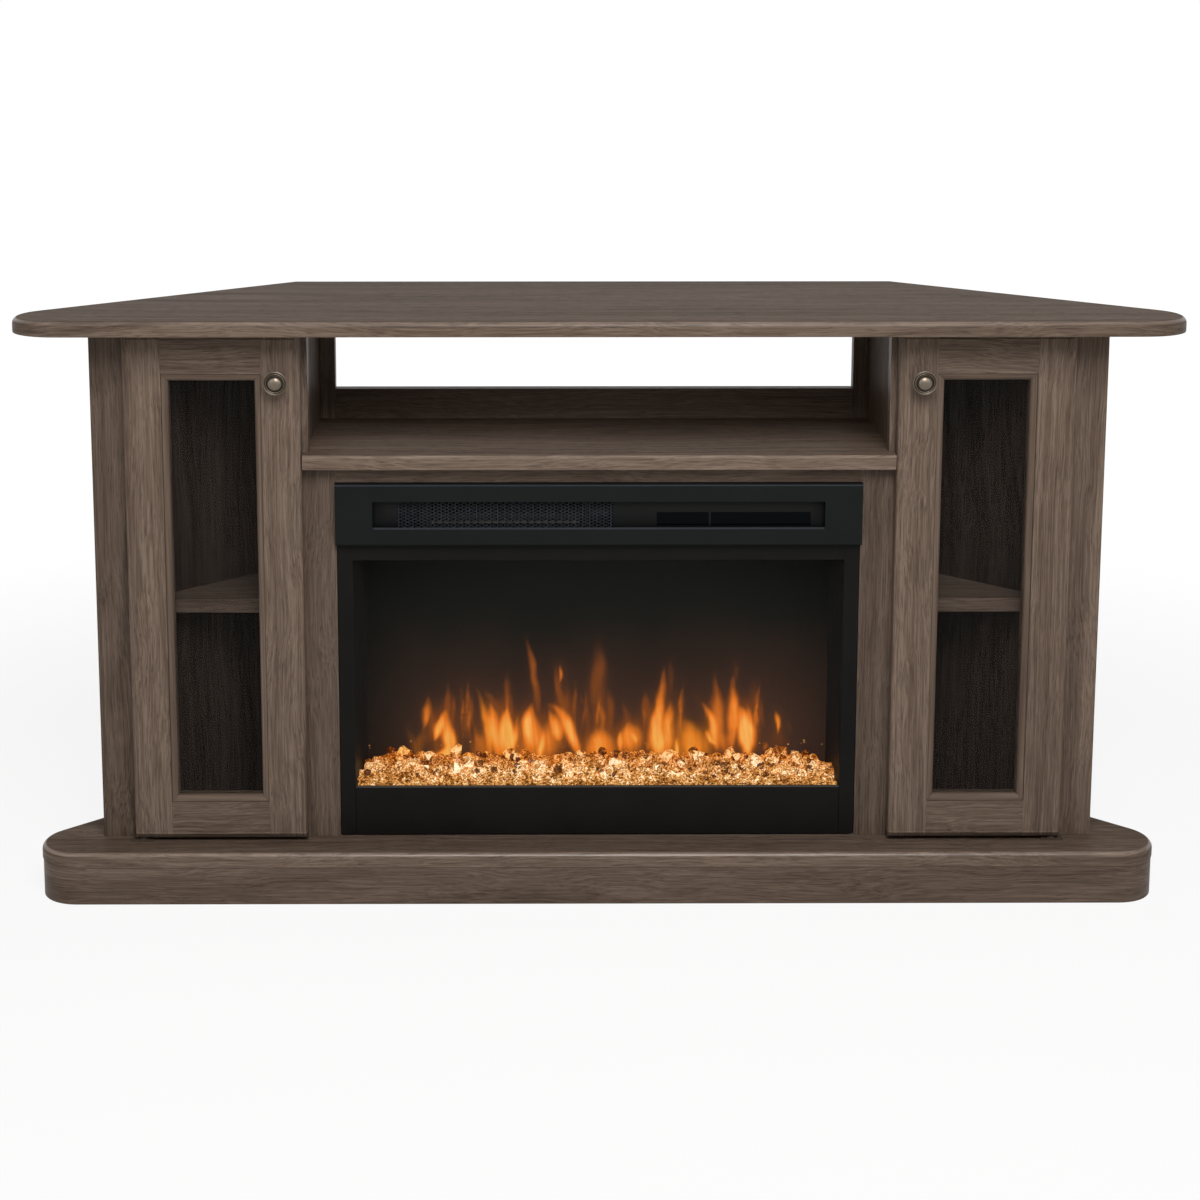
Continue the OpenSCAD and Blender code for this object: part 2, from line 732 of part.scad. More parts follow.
// The folded steel case: open front, side liners, tray, ceiling, back vents and feet
module firebox_case() {
    foot_r = 10;
    foot_in_x = 34;
    foot_in_y = 20;
    vent_w = 28;
    vent_h = 4;
    vent_step = 40;
    vent_row = 14;
    vent_z = ceiling_z + 20;
    tray_y0 = liner_y + 2;
    tray_y1 = screen_y - 3;
    rim_x = 20;                                 // width of the tray's rim at its ends
    rim_y0 = 8;
    rim_y1 = 9;
    seat_y = screen_y + screen_t;
    shell_x = case_x - sheet_t/2;
    color(black) difference() {
        union() {
            difference() {
                block([-case_x, panel_back, case_z0], [case_x, case_y1, case_z1]);
                block([-case_x + sheet_t, panel_back - cut, floor_z],
                    [case_x - sheet_t, case_y1 - sheet_t, case_z1 - sheet_t]);
            }
            both_sides() {
                // side liner, narrowing to the flame screen
                translate([0, 0, case_z0]) linear_extrude(ceiling_z - case_z0) polygon([
                    [window_x, liner_y], [shell_x, liner_y], [shell_x, liner_y + sheet_t],
                    [window_x + sheet_t, liner_y + sheet_t],
                    [screen_x + sheet_t, screen_y], [screen_x, screen_y]]);
                // seat behind the flame screen's edge
                block([screen_x + 1, seat_y, case_z0], [shell_x, seat_y + sheet_t, ceiling_z]);
                // feet
                for (y = [panel_back + foot_in_y, case_y1 - foot_in_y])
                    translate([case_x - foot_in_x, y, base_h])
                        cylinder(r = foot_r, h = foot_h + sheet_t/2, $fn = 32);
            }
            // ceiling of the flame chamber
            block([-shell_x, liner_y, ceiling_z],
                [shell_x, case_y1 - sheet_t/2, ceiling_z + sheet_t]);
            // ledge under the flame screen
            block([-shell_x, tray_y1, ledge_z], [shell_x, seat_y + sheet_t, ledge_z + sheet_t]);
            // tray under the ember bed, open in its middle for the light
            difference() {
                translate([0, 0, tray_z - sheet_t]) linear_extrude(sheet_t) polygon([
                    [-liner_at(tray_y0) - 1, tray_y0], [liner_at(tray_y0) + 1, tray_y0],
                    [liner_at(tray_y1) + 1, tray_y1], [-liner_at(tray_y1) - 1, tray_y1]]);
                block([-screen_x + rim_x, tray_y0 + rim_y0, tray_z - sheet_t - cut],
                    [screen_x - rim_x, tray_y1 - rim_y1, tray_z + cut]);
            }
        }
        // air vents in the back
        for (row = [0:2]) for (k = [-4:4]) translate([k*vent_step, 0, vent_z + row*vent_row])
            block([-vent_w/2, case_y1 - sheet_t - cut, 0], [vent_w/2, case_y1 + cut, vent_h]);
        // hole of the power gland
        translate([gland_x, case_y1 + cut, gland_z]) rotate([90, 0, 0])
            cylinder(r = gland_r + gland_wall, h = sheet_t + 2*cut, $fn = 32);
    }
}

// The hood: a shallow folded box with the long slot, and the plate behind the slot
module firebox_hood() {
    lip_r = 1;
    color(black) {
        difference() {
            block([-hood_x, hood_front, hood_z0], [hood_x, face_y, hood_z1]);
            block([-hood_x + hood_fold, hood_front + sheet_t, hood_z0 + sheet_t],
                [hood_x - hood_fold, face_y + cut, hood_z1 - hood_fold]);
            block([-slot_x, hood_front - cut, slot_z], [slot_x, face_y - cut, slot_z + slot_h]);
        }
        // rolled lower lip of the slot
        translate([-slot_x, hood_front + lip_r, slot_z - lip_r]) rotate([0, 90, 0])
            cylinder(r = lip_r, h = 2*slot_x, $fn = 24);
        difference() {
            block([-frame_x, face_y, hood_z0], [frame_x, panel_back, opening_top - frame_gap]);
            block([grille_left, face_y - cut, grille_z0],
                [grille_left + grille_w, panel_back + cut, grille_z1]);
            for (pane = control_panes()) block([pane[0], face_y - cut, slot_z],
                [pane[1], panel_back + cut, slot_z + control_h]);
        }
    }
}

// Left and right ends of the two panes of the control window
function control_panes() = [
    [control_x - control_w/2, divider_x - 1], [divider_x + 1, control_x + control_w/2]];

// The lower frame: two side bars and a top bar, with a fine groove at each joint
module window_frame() {
    groove = 0.6;
    corner_r = 4;
    color(black) difference() {
        union() {
            both_sides() {
                block([window_x, face_y, frame_z0 + corner_r], [frame_x, panel_back, frame_z1]);
                block([window_x, face_y, frame_z0], [frame_x - corner_r, panel_back, frame_z1]);
                translate([frame_x - corner_r, panel_back, frame_z0 + corner_r])
                    rotate([90, 0, 0]) cylinder(r = corner_r, h = sheet_t, $fn = 32);
            }
            block([-window_x - cut, face_y, window_z1], [window_x + cut, panel_back, frame_z1]);
        }
        both_sides() block([window_x - groove, face_y - cut, window_z1 - cut],
            [window_x, face_y + groove, frame_z1 + cut]);
    }
}

module lower_panel() {
    gap = 0.4;
    color(black) {
        block([-window_x + gap, face_y, frame_z0], [window_x - gap, panel_back, window_z0]);
        block([-window_x + gap, face_y, window_z0 - sheet_t],
            [window_x - gap, glass_back, window_z0]);
    }
}

module window_glass() {
    side_lap = 7.5;
    head_lap = 6;
    color(glass_tint) block([-window_x - side_lap, panel_back, window_z0],
        [window_x + side_lap, glass_back, window_z1 + head_lap]);
}

// The grille: staggered rows of hexagonal holes in a thin plate
module heater_grille() {
    rim = 3;
    plate_t = 1;
    hole_r = (grille_pitch - grille_web)/root3;
    row_step = grille_pitch*root3/2;
    columns = floor((grille_w - grille_pitch)/grille_pitch);
    rows = floor((grille_z1 - grille_z0 - grille_pitch)/row_step);
    centre_z = (grille_z0 + grille_z1)/2;
    color(black) translate([-grille_x, panel_back + plate_t, centre_z]) rotate([90, 0, 0])
        linear_extrude(plate_t) difference() {
            square([grille_w + 2*rim, grille_z1 - grille_z0 + 2*rim], center = true);
            for (row = [0:rows]) for (k = [0:columns - row % 2])
                translate([(k - (columns - row % 2)/2)*grille_pitch, (row - rows/2)*row_step])
                    rotate(30) circle(r = hole_r, $fn = 6);
        }
}

module control_display() {
    fit = 0.1;
    sink = 0.2;
    edge = 3;
    back_t = 2.5;
    color([0.03, 0.04, 0.06]) {
        for (pane = control_panes()) block([pane[0] + fit, face_y + sink, slot_z + fit],
            [pane[1] - fit, panel_back + slice, slot_z + control_h - fit]);
        block([control_x - control_w/2 - edge, panel_back, slot_z - edge],
            [control_x + control_w/2 + edge, panel_back + back_t, slot_z + control_h + edge]);
    }
}

// A lumpy surface that rises to the back, peaks at some chunks and rolls down at both ends
function ember_point(i, j) = let (
    y = ember_y0 + (ember_y1 - ember_y0)*j/ember_rows,
    half = liner_at(y) - 2.5,
    u = -1 + 2*i/ember_cols,
    rise = sin(90*j/ember_rows),
    fall = 14*pow(abs(u), 24),
    noise = ember_noise[i*(ember_rows + 1) + j],
    lump = (j == 0 || j == ember_rows) ? noise/2 : 2*noise + 5*pow(max(noise, 0), 6),
    swell = 3*rise*sin(500*u + 40)*cos(170*u))
    [half*u, y, max(tray_z + 1.5,
        window_z0 + ember_front_rise + (ember_back_rise - ember_front_rise - fall)*rise
            + lump + swell)];

module ember_bed() {
    n = ember_rows + 1;
    count = (ember_cols + 1)*n;
    top = [for (i = [0:ember_cols]) for (j = [0:ember_rows]) ember_point(i, j)];
    low = [for (p = top) [p[0], p[1], tray_z]];
    rim = concat(
        [for (i = [0:ember_cols - 1]) i*n],
        [for (j = [0:ember_rows - 1]) ember_cols*n + j],
        [for (i = [ember_cols:-1:1]) i*n + ember_rows],
        [for (j = [ember_rows:-1:1]) j]);
    faces = concat(
        [for (i = [0:ember_cols - 1]) for (j = [0:ember_rows - 1]) let (c = i*n + j)
            [c, c + 1, c + n]],
        [for (i = [0:ember_cols - 1]) for (j = [0:ember_rows - 1]) let (c = i*n + j)
            [c + 1, c + n + 1, c + n]],
        [for (k = [0:len(rim) - 1]) let (a = rim[k], b = rim[(k + 1) % len(rim)])
            [a, b, b + count, a + count]],
        [for (i = [0:ember_cols - 1]) for (j = [0:ember_rows - 1]) let (c = i*n + j + count)
            [c, c + n, c + 1]],
        [for (i = [0:ember_cols - 1]) for (j = [0:ember_rows - 1]) let (c = i*n + j + count)
            [c + 1, c + n, c + n + 1]]);
    color([0.85, 0.6, 0.3]) polyhedron(points = concat(top, low), faces = faces);
}

module flame_screen() {
    edge = 4;
    color([0.16, 0.15, 0.14, 0.6]) block(
        [-screen_x - edge, screen_y, ledge_z + sheet_t],
        [screen_x + edge, screen_y + screen_t, ceiling_z]);
}

// The flicker spindle: a rod with vanes set round it in a spiral
module flicker_spindle() {
    vane_w = 22;
    vane_t = 0.8;
    turn = 50;                                  // angle from one vane to the next
    end_gap = 20;
    pitch = 2*(rod_half - end_gap)/vane_count;
    color(steel) translate([0, rod_y, rod_z]) rotate([0, 90, 0]) {
        translate([0, 0, -rod_half]) cylinder(r = rod_r, h = 2*rod_half, $fn = 32);
        for (k = [0:vane_count - 1])
            translate([0, 0, (k - (vane_count - 1)/2)*pitch]) rotate([0, 0, k*turn])
                translate([-vane_r, -vane_t/2, -vane_w/2]) cube([2*vane_r, vane_t, vane_w]);
    }
}

// The spindle's motor on its bracket, and the bearing bracket at the other end
module flicker_motor() {
    post_t = 3;
    post_w = 12;                                // half the width of a bracket
    foot_l = 12;
    foot_t = 2;
    can_r = 20;
    can_gap = 0.5;
    sleeve_r = rod_r + 3;
    color(steel) difference() {
        union() {
            for (side = [-1, 1]) translate([side*(rod_half - bearing_l/2), rod_y, 0]) {
                block([-post_t/2, -post_w, floor_z], [post_t/2, post_w, rod_z + post_w]);
                block([-post_t/2, -post_w, floor_z], [post_t/2 + foot_l, post_w, floor_z + foot_t]);
                translate([-bearing_l/2, 0, rod_z]) rotate([0, 90, 0])
                    cylinder(r = sleeve_r, h = bearing_l, $fn = 32);
            }
            translate([-rod_half - flange_l, rod_y, rod_z]) rotate([0, 90, 0]) {
                cylinder(r = can_r, h = flange_l - can_gap, $fn = 48);
                cylinder(r = sleeve_r, h = flange_l + cut, $fn = 32);
            }
        }
        translate([-rod_half - 0.2, rod_y, rod_z]) rotate([0, 90, 0])
            cylinder(r = rod_r + shaft_play, h = 2*rod_half + cut, $fn = 32);
    }
}

// The light strip: a circuit board on posts with a row of lamps
module led_board() {
    board_t = 1.6;
    end_gap = 24;
    lamp_s = 5;
    lamp_h = 1.4;
    post_r = 3;
    board_x = screen_x - end_gap;
    front_gap = 12;
    back_gap = 16;
    post_h = 12;
    y0 = liner_y + front_gap;
    y1 = screen_y - back_gap;
    y_mid = (y0 + y1)/2;
    z0 = floor_z + post_h;
    z1 = z0 + board_t;
    color([0.15, 0.35, 0.2]) {
        block([-board_x, y0, z0], [board_x, y1, z1]);
        for (x = [-0.9, -0.3, 0.3, 0.9]) translate([x*board_x, y_mid, floor_z])
            cylinder(r = post_r, h = z0 - floor_z + slice, $fn = 24);
        for (k = [-9:9]) translate([k*board_x/10, y_mid, z1])
            block([-lamp_s/2, -lamp_s/2, -slice], [lamp_s/2, lamp_s/2, lamp_h]);
    }
}

// The blower's housing: a scroll round the wheel and a duct to the grille, on two feet
module heater_housing() {
    wall = sheet_t;
    foot_w = 16;
    foot_in = 20;
    foot_gap = 0.5;
    inlet = 4;                                  // offset of the air inlet from the wheel's centre
    end_x = duct_x + wall + boss_l;
    module duct(grow) {
        front = duct_y - (grow > 0 ? 0 : cut);
        translate([wheel_y, wheel_z]) circle(r = duct_r + grow, $fn = 48);
        translate([front, duct_z0 - grow])
            square([wheel_y - front, duct_z1 - duct_z0 + 2*grow]);
    }
    module scroll() {
        difference() {
            duct(wall);
            duct(0);
            translate([wheel_y + inlet, wheel_z + inlet]) square(duct_r + wall);
        }
    }
    module along(length) {
        multmatrix([[0, 0, 1, 0], [1, 0, 0, 0], [0, 1, 0, 0], [0, 0, 0, 1]])
            linear_extrude(length, center = true) children();
    }
    color(steel) translate([-grille_x, 0, 0]) difference() {
        union() {
            along(2*duct_x + slice) scroll();
            for (side = [-1, 1]) translate([side*(duct_x + wall/2), 0, 0]) along(wall) duct(wall);
            // bearing boss at the far end
            translate([-end_x, wheel_y, wheel_z]) rotate([0, 90, 0])
                cylinder(r = rod_r + 3, h = boss_l + slice, $fn = 32);
            for (x = [-duct_x + foot_in, duct_x - foot_in - foot_w])
                block([x, wheel_y - foot_w/2, ceiling_z + sheet_t],
                    [x + foot_w, wheel_y + foot_w/2, wheel_z - duct_r - foot_gap]);
        }
        translate([-end_x - cut, wheel_y, wheel_z]) rotate([0, 90, 0])
            cylinder(r = rod_r + shaft_play, h = end_x + duct_x + wall + 2*cut, $fn = 32);
    }
}

// The heating element: two ceramic ends that carry the coils
module heater_element() {
    y = duct_y + 12;
    coil_r = 1.5;
    end_w = 4;                                  // half the width of a ceramic end
    end_t = 3;                                  // half its thickness
    end_x = duct_x - end_w;
    rows = 4;
    pitch = (duct_z1 - duct_z0)/rows;
    color([0.75, 0.72, 0.66]) translate([-grille_x, 0, 0]) {
        for (side = [-1, 1]) translate([side*end_x, 0, 0])
            block([-end_w, y - end_t, duct_z0], [end_w, y + end_t, duct_z1]);
        for (k = [0:rows - 1]) translate([-end_x, y, duct_z0 + (k + 0.5)*pitch])
            rotate([0, 90, 0]) cylinder(r = coil_r, h = 2*end_x, $fn = 24);
    }
}

// The blower wheel: forward-curved blades between discs, on one shaft
module blower_wheel() {
    disc_t = 1.5;
    blade_t = 0.8;
    blade_in = wheel_r - 6;
    curl = 30;
    function blade_side(shift) = [for (k = [0:4]) let (
        r = blade_in + (wheel_r - 0.6 - blade_in)*k/4, a = curl*pow(k/4, 2) + shift/r*57.3)
        [r*cos(a), r*sin(a)]];
    function backwards(list) = [for (k = [len(list) - 1:-1:0]) list[k]];
    color(steel) translate([-grille_x, wheel_y, wheel_z]) rotate([0, 90, 0]) {
        translate([0, 0, -wheel_l/2]) linear_extrude(wheel_l)
            for (k = [0:wheel_blades - 1]) rotate(k*360/wheel_blades)
                polygon(concat(blade_side(0), backwards(blade_side(blade_t))));
        for (z = [-wheel_l/2, -disc_t/2, wheel_l/2 - disc_t]) translate([0, 0, z])
            cylinder(r = wheel_r, h = disc_t, $fn = 48);
        translate([0, 0, -duct_x - sheet_t - boss_l])
            cylinder(r = rod_r, h = 2*duct_x + 2*sheet_t + boss_l + hub_l, $fn = 32);
    }
}

module blower_motor() {
    can_r = 21;
    cap_r = 12;
    cap_t = 3;
    x0 = -grille_x + duct_x + sheet_t;
    color(steel) translate([x0, wheel_y, wheel_z]) rotate([0, 90, 0]) difference() {
        union() {
            cylinder(r = can_r, h = motor_l, $fn = 48);
            translate([0, 0, motor_l - slice]) cylinder(r = cap_r, h = cap_t, $fn = 48);
        }
        translate([0, 0, -cut]) cylinder(r = rod_r + shaft_play, h = hub_l + 0.3 + cut, $fn = 32);
    }
}

// Angle brackets that hold the firebox to the backs of the surround's stiles
module firebox_brackets() {
    rise = 190;                                 // height of the brackets above the base
    height = 60;
    panel_gap = 10;
    leg = 30;
    z0 = base_h + rise;
    reach_x = bay_w/2 - panel_gap;
    color(steel) both_sides() {
        block([case_x, frame_y, z0], [case_x + sheet_t, frame_y + leg, z0 + height]);
        block([case_x, frame_y, z0], [reach_x, frame_y + sheet_t, z0 + height]);
    }
}

module power_gland() {
    flange_w = 7;
    flange_t = 5;
    nose_l = 14;
    tail = sheet_t + 4;                         // part of the gland inside the case
    color(black) translate([gland_x, case_y1, gland_z]) rotate([-90, 0, 0]) difference() {
        union() {
            translate([0, 0, -tail]) cylinder(r = gland_r + gland_wall, h = tail + nose_l, $fn = 32);
            cylinder(r = gland_r + flange_w, h = flange_t, $fn = 32);
        }
        translate([0, 0, -tail - cut])
            cylinder(r = gland_r, h = tail + nose_l + 2*cut, $fn = 32);
    }
}

top_slab();
base_board();
skirt_front();
skirt_sides();
skirt_back();
base_battens();
left_outer_stile();
right_outer_stile();
left_angled_panel();
right_angled_panel();
left_inner_panel();
right_inner_panel();
media_shelf();
back_posts();
back_rails();
left_surround_stile();
right_surround_stile();
surround_rail();
bay_stiles();
tower_shelves();
shelf_pins();
case_cleats();
left_hinge_stile();
left_knob_stile();
left_top_rail();
left_bottom_rail();
left_bead();
left_glass();
left_knob();
left_bushes();
left_strike();
right_hinge_stile();
right_knob_stile();
right_top_rail();
right_bottom_rail();
right_bead();
right_glass();
right_knob();
right_bushes();
right_strike();
door_pivots();
door_magnets();
firebox_case();
firebox_hood();
window_frame();
lower_panel();
window_glass();
heater_grille();
control_display();
ember_bed();
flame_screen();
flicker_spindle();
flicker_motor();
led_board();
heater_housing();
heater_element();
blower_wheel();
blower_motor();
firebox_brackets();
power_gland();
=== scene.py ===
"""Finishes and fine pieces of a corner fireplace: a corner media console with two glazed
doors, an open shelf and an electric firebox. Metres, in the frame of its packed solids."""

import math
import random
from contextlib import contextmanager

import bpy
import numpy as np
from bpy.props import FloatProperty, FloatVectorProperty, IntProperty, PointerProperty
from mathutils import noise, Matrix, Vector
from mathutils.bvhtree import BVHTree


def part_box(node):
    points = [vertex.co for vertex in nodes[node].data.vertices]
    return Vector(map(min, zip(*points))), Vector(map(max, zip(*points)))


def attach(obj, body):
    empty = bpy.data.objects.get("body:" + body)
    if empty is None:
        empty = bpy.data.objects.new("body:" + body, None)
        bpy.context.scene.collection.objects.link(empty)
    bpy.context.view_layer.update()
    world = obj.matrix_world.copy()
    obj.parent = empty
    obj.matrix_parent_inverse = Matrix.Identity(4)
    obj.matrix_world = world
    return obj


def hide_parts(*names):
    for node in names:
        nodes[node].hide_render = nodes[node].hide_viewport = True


bl_info = {
    "name": "Corner Fireplace",
    "version": (1, 0, 0),
    "blender": (4, 5, 0),
    "location": "View3D > Sidebar > Fireplace",
    "description": "Wood, steel, glass, embers and flames of a corner fireplace",
    "category": "Object",
}

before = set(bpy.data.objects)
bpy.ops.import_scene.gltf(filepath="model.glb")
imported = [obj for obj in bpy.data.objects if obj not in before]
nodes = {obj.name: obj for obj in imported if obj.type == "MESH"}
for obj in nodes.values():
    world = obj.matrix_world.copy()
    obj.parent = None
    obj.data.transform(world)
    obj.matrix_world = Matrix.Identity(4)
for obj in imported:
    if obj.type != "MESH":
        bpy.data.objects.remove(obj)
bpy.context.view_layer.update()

BOARDS = {
    "top_slab": "X", "base_board": "X", "skirt_front": "X", "skirt_sides": "Y", "skirt_back": "X",
    "base_battens": "Y", "left_outer_stile": "Z", "right_outer_stile": "Z",
    "left_angled_panel": "Z", "right_angled_panel": "Z", "left_inner_panel": "Z",
    "right_inner_panel": "Z", "media_shelf": "X", "back_posts": "Z", "back_rails": "X",
    "left_surround_stile": "Z", "right_surround_stile": "Z", "surround_rail": "X",
    "bay_stiles": "Z", "tower_shelves": "X", "case_cleats": "Y",
}
DOOR_BOARDS = {"hinge_stile": "Z", "knob_stile": "Z", "top_rail": "X", "bottom_rail": "X"}

# Tongues of flame: heat, how golden, then points on its spine in millimetres, as its place
# along the screen, its height over the bed and half its width there.
TONGUES = (
    (0.3, 0.7, (-237, -14, 1.9), (-239, 6, 4.5), (-246, 28, 3.8), (-254, 49, 0.9)),
    (0.38, 0.8, (-234, -14, 2.6), (-232, 6, 5.3), (-228, 23, 3.8), (-224, 40, 0.9)),
    (0.62, 0.5, (-225, 30, 0.8), (-222, 42, 4.1), (-220, 55, 3.4), (-219, 69, 0.8)),
    (0.3, 0.3, (-219, 13, 0.9), (-216, 25, 3.4), (-213, 40, 2.3), (-212, 51, 0.6)),
    (0.98, 0.6, (-216, -7, 1.1), (-206, -7, 4.1), (-195, -3, 6), (-191, 8, 5.7),
     (-194, 23, 6.4), (-196, 36, 4.1), (-197, 51, 1.5)),
    (0.85, 0.5, (-211, 15, 0.8), (-207, 26, 3.8), (-202, 38, 3.4), (-197, 51, 0.9)),
    (0.35, 0.1, (-193, 28, 2.6), (-194, 51, 3), (-193, 74, 2.3), (-194, 96, 0.8)),
    (0.14, 0.1, (-178, 81, 0.8), (-178, 96, 1.9), (-177, 106, 0.6)),
    (0.5, 0.6, (-153, -15, 9.4), (-152, 2, 10.9), (-153, 17, 7.5), (-154, 28, 1.9)),
    (0.68, 0.9, (-140, -9, 1.9), (-140, 17, 3.4), (-144, 40, 3.8), (-150, 60, 2.4),
     (-159, 83, 0.6)),
    (0.3, 0.4, (-130, 47, 1.9), (-135, 60, 2.3), (-143, 70, 1.5), (-149, 81, 0.6)),
    (0.82, 0.5, (-125, -14, 4.5), (-128, 9, 6.4), (-133, 28, 5.7), (-137, 51, 2.3),
     (-139, 60, 0.6)),
    (1, 0.7, (-115, -14, 3.8), (-115, 6, 5.7), (-116, 23, 6.8), (-118, 40, 4.5), (-117, 53, 0.9)),
    (0.7, 0.5, (-112, -9, 2.3), (-110, 11, 3.8), (-105, 28, 3), (-100, 49, 0.6)),
    (0.32, 0.1, (-115, 43, 3.8), (-115, 66, 4.5), (-116, 87, 3.4), (-116, 106, 0.8)),
    (0.55, 0.5, (-85, -17, 13.2), (-85, 2, 15.1), (-85, 21, 11.3), (-85, 40, 3.8)),
    (0.9, 0.3, (-84, 9, 5.7), (-88, 28, 7.5), (-87, 43, 5.3), (-84, 58, 0.9)),
    (0.85, 0.8, (-74, -15, 1.5), (-73, 2, 2.6), (-71, 15, 2.6), (-70, 28, 0.6)),
    (0.46, 0.2, (-76, 51, 2.6), (-79, 74, 3.8), (-84, 100, 3.8), (-90, 124, 2.3),
     (-94, 143, 0.6)),
    (0.55, 0.5, (-59, -9, 9.4), (-61, 9, 11.3), (-63, 26, 6.8), (-64, 40, 1.5)),
    (0.85, 0.3, (-23, -9, 1.5), (-29, 11, 5.3), (-38, 32, 6.8), (-47, 47, 4.5), (-64, 58, 0.8)),
    (0.8, 0.5, (-49, 15, 1.5), (-52, 26, 4.5), (-56, 40, 3.4), (-61, 52, 0.6)),
    (0.38, 0.2, (-36, 36, 3.8), (-44, 58, 3.8), (-53, 87, 3), (-56, 109, 0.8)),
    (0.24, 0.1, (-36, 51, 2.6), (-38, 66, 3), (-40, 81, 0.8)),
    (0.6, 0.4, (-47, 81, 0.8), (-46, 89, 1.7), (-47, 96, 1.5), (-49, 104, 0.4)),
    (0.26, 0.2, (-6, 57, 1.9), (-2, 81, 5.7), (2, 107, 5.7), (2, 138, 1.1)),
    (0.22, 0.2, (-17, 55, 0.9), (-20, 62, 1.5), (-23, 70, 0.6)),
    (0.75, 0.6, (4, -14, 15.1), (4, 2, 16.2), (6, 17, 10.6), (8, 29, 2.3)),
    (0.29, 0.2, (2, 21, 9.4), (2, 58, 10.4), (3, 96, 9), (2, 126, 4.9), (2, 155, 0.9)),
    (0.34, 0.4, (17, 28, 3), (18, 47, 3.4), (18, 66, 2.6), (17, 79, 0.6)),
    (0.75, 0.6, (31, -2, 1.1), (31, 9, 2.6), (32, 21, 1.9), (32, 26, 0.4)),
    (0.66, 0.5, (46, 2, 11.3), (45, 15, 12.4), (44, 28, 6.8), (44, 38, 1.5)),
    (0.8, 0.9, (52, 11, 0.8), (50, 16, 1.7), (47, 22, 1.3), (45, 25, 0.4)),
    (0.4, 0.8, (68, 1, 0.8), (68, 9, 1.5), (69, 18, 0.4)),
    (0.36, 0.4, (66, 36, 4.9), (64, 51, 4.9), (64, 66, 3), (64, 79, 0.6)),
    (0.8, 0.5, (84, -14, 8.3), (81, 6, 8.7), (79, 28, 7.5), (82, 51, 5.7), (86, 77, 4.1),
     (90, 102, 0.8)),
    (0.92, 0.7, (82, -4, 5.7), (81, 11, 6.4), (80, 25, 4.5), (81, 36, 1.1)),
    (0.74, 0.6, (94, -14, 1.9), (94, 11, 3.8), (94, 34, 4.1), (96, 49, 3.4), (98, 62, 0.6)),
    (0.9, 0.8, (107, -13, 0.9), (106, -2, 1.7), (105, 9, 1.5), (104, 19, 0.4)),
    (0.26, 0.1, (97, 66, 2.6), (98, 85, 3), (97, 104, 1.9), (95, 121, 0.6)),
    (0.72, 0.9, (127, -14, 15.1), (127, 2, 17), (126, 17, 12.4), (121, 32, 5.7), (112, 40, 1.1)),
    (0.42, 0.9, (112, 9, 5.7), (112, 25, 6.8), (108, 38, 4.9), (102, 49, 0.9)),
    (0.18, 0.1, (131, 51, 3), (130, 70, 3.4), (130, 91, 0.8)),
    (0.72, 0.5, (158, 4, 2.3), (154, 21, 4.9), (151, 38, 4.1), (142, 53, 1.9), (136, 60, 0.4)),
    (0.85, 0.8, (156, 9, 0.9), (150, 15, 1.9), (145, 23, 1.5), (142, 28, 0.4)),
    (0.56, 0.3, (160, 9, 4.9), (159, 32, 6.4), (158, 55, 6), (155, 77, 3.8), (153, 104, 0.8)),
    (0.74, 0.4, (177, 6, 3), (178, 28, 5.3), (179, 51, 5.7), (178, 70, 3.8), (177, 91, 0.8)),
    (0.26, 0.1, (180, 81, 3.4), (181, 96, 3.4), (180, 117, 0.8)),
    (0.45, 0.4, (168, 2, 9.4), (168, 13, 7.5), (167, 25, 1.9)),
    (1, 0.4, (198, -9, 5.7), (198, 9, 7.9), (196, 26, 8.3), (192, 42, 6), (187, 55, 0.8)),
    (0.4, 0.5, (209, 32, 1.5), (208, 42, 2.6), (208, 51, 0.6)),
    (0.25, 0.7, (220, 30, 0.8), (216, 43, 2.6), (214, 58, 2.6), (217, 77, 0.6)),
    (0.2, 0.1, (208, 55, 3), (204, 77, 3.4), (202, 100, 0.8)),
    (0.72, 0.8, (238, 23, 0.6), (237, 32, 1.7), (234, 42, 1.9), (232, 49, 0.4)),
    (0.24, 0.5, (254, 23, 0.6), (251, 32, 1.9), (247, 42, 0.4)),
    (0.5, 0.6, (220, 0, 0.6), (222, 7, 1.3), (221, 14, 0.4)),
    (0.24, 0, (242, 2, 11.3), (242, 9, 13.2), (242, 21, 1.9)),
)


def tint(red, green, blue):
    """A colour given as it looks on a screen, from 0 to 255, as scene-linear numbers."""
    def linear(c):
        c /= 255
        return c / 12.92 if c <= 0.04045 else ((c + 0.055) / 1.055) ** 2.4
    return (linear(red), linear(green), linear(blue))


def times(rgb, amount):
    """A colour made lighter or darker."""
    return tuple(c * amount for c in rgb)


def colour(name, description, red, green, blue):
    return FloatVectorProperty(name=name, description=description, subtype="COLOR", size=3,
                               min=0, max=1, default=tint(red, green, blue))


def length(name, description, default, low=0.0, high=1.0):
    return FloatProperty(name=name, description=description, subtype="DISTANCE", unit="LENGTH",
                         default=default, min=low, max=high, precision=4)


def share(name, description, default, high=1.0):
    return FloatProperty(name=name, description=description, subtype="FACTOR",
                         default=default, min=0, max=high)


def number(name, description, default, low, high):
    return IntProperty(name=name, description=description, default=default, min=low, max=high)


def angle(name, description, degrees):
    return FloatProperty(name=name, description=description, subtype="ANGLE", unit="ROTATION",
                         default=math.radians(degrees))


def power(name, description, watts):
    return FloatProperty(name=name, description=description, subtype="POWER", unit="POWER",
                         default=watts, min=0)


# ---------- sizes and colours ----------

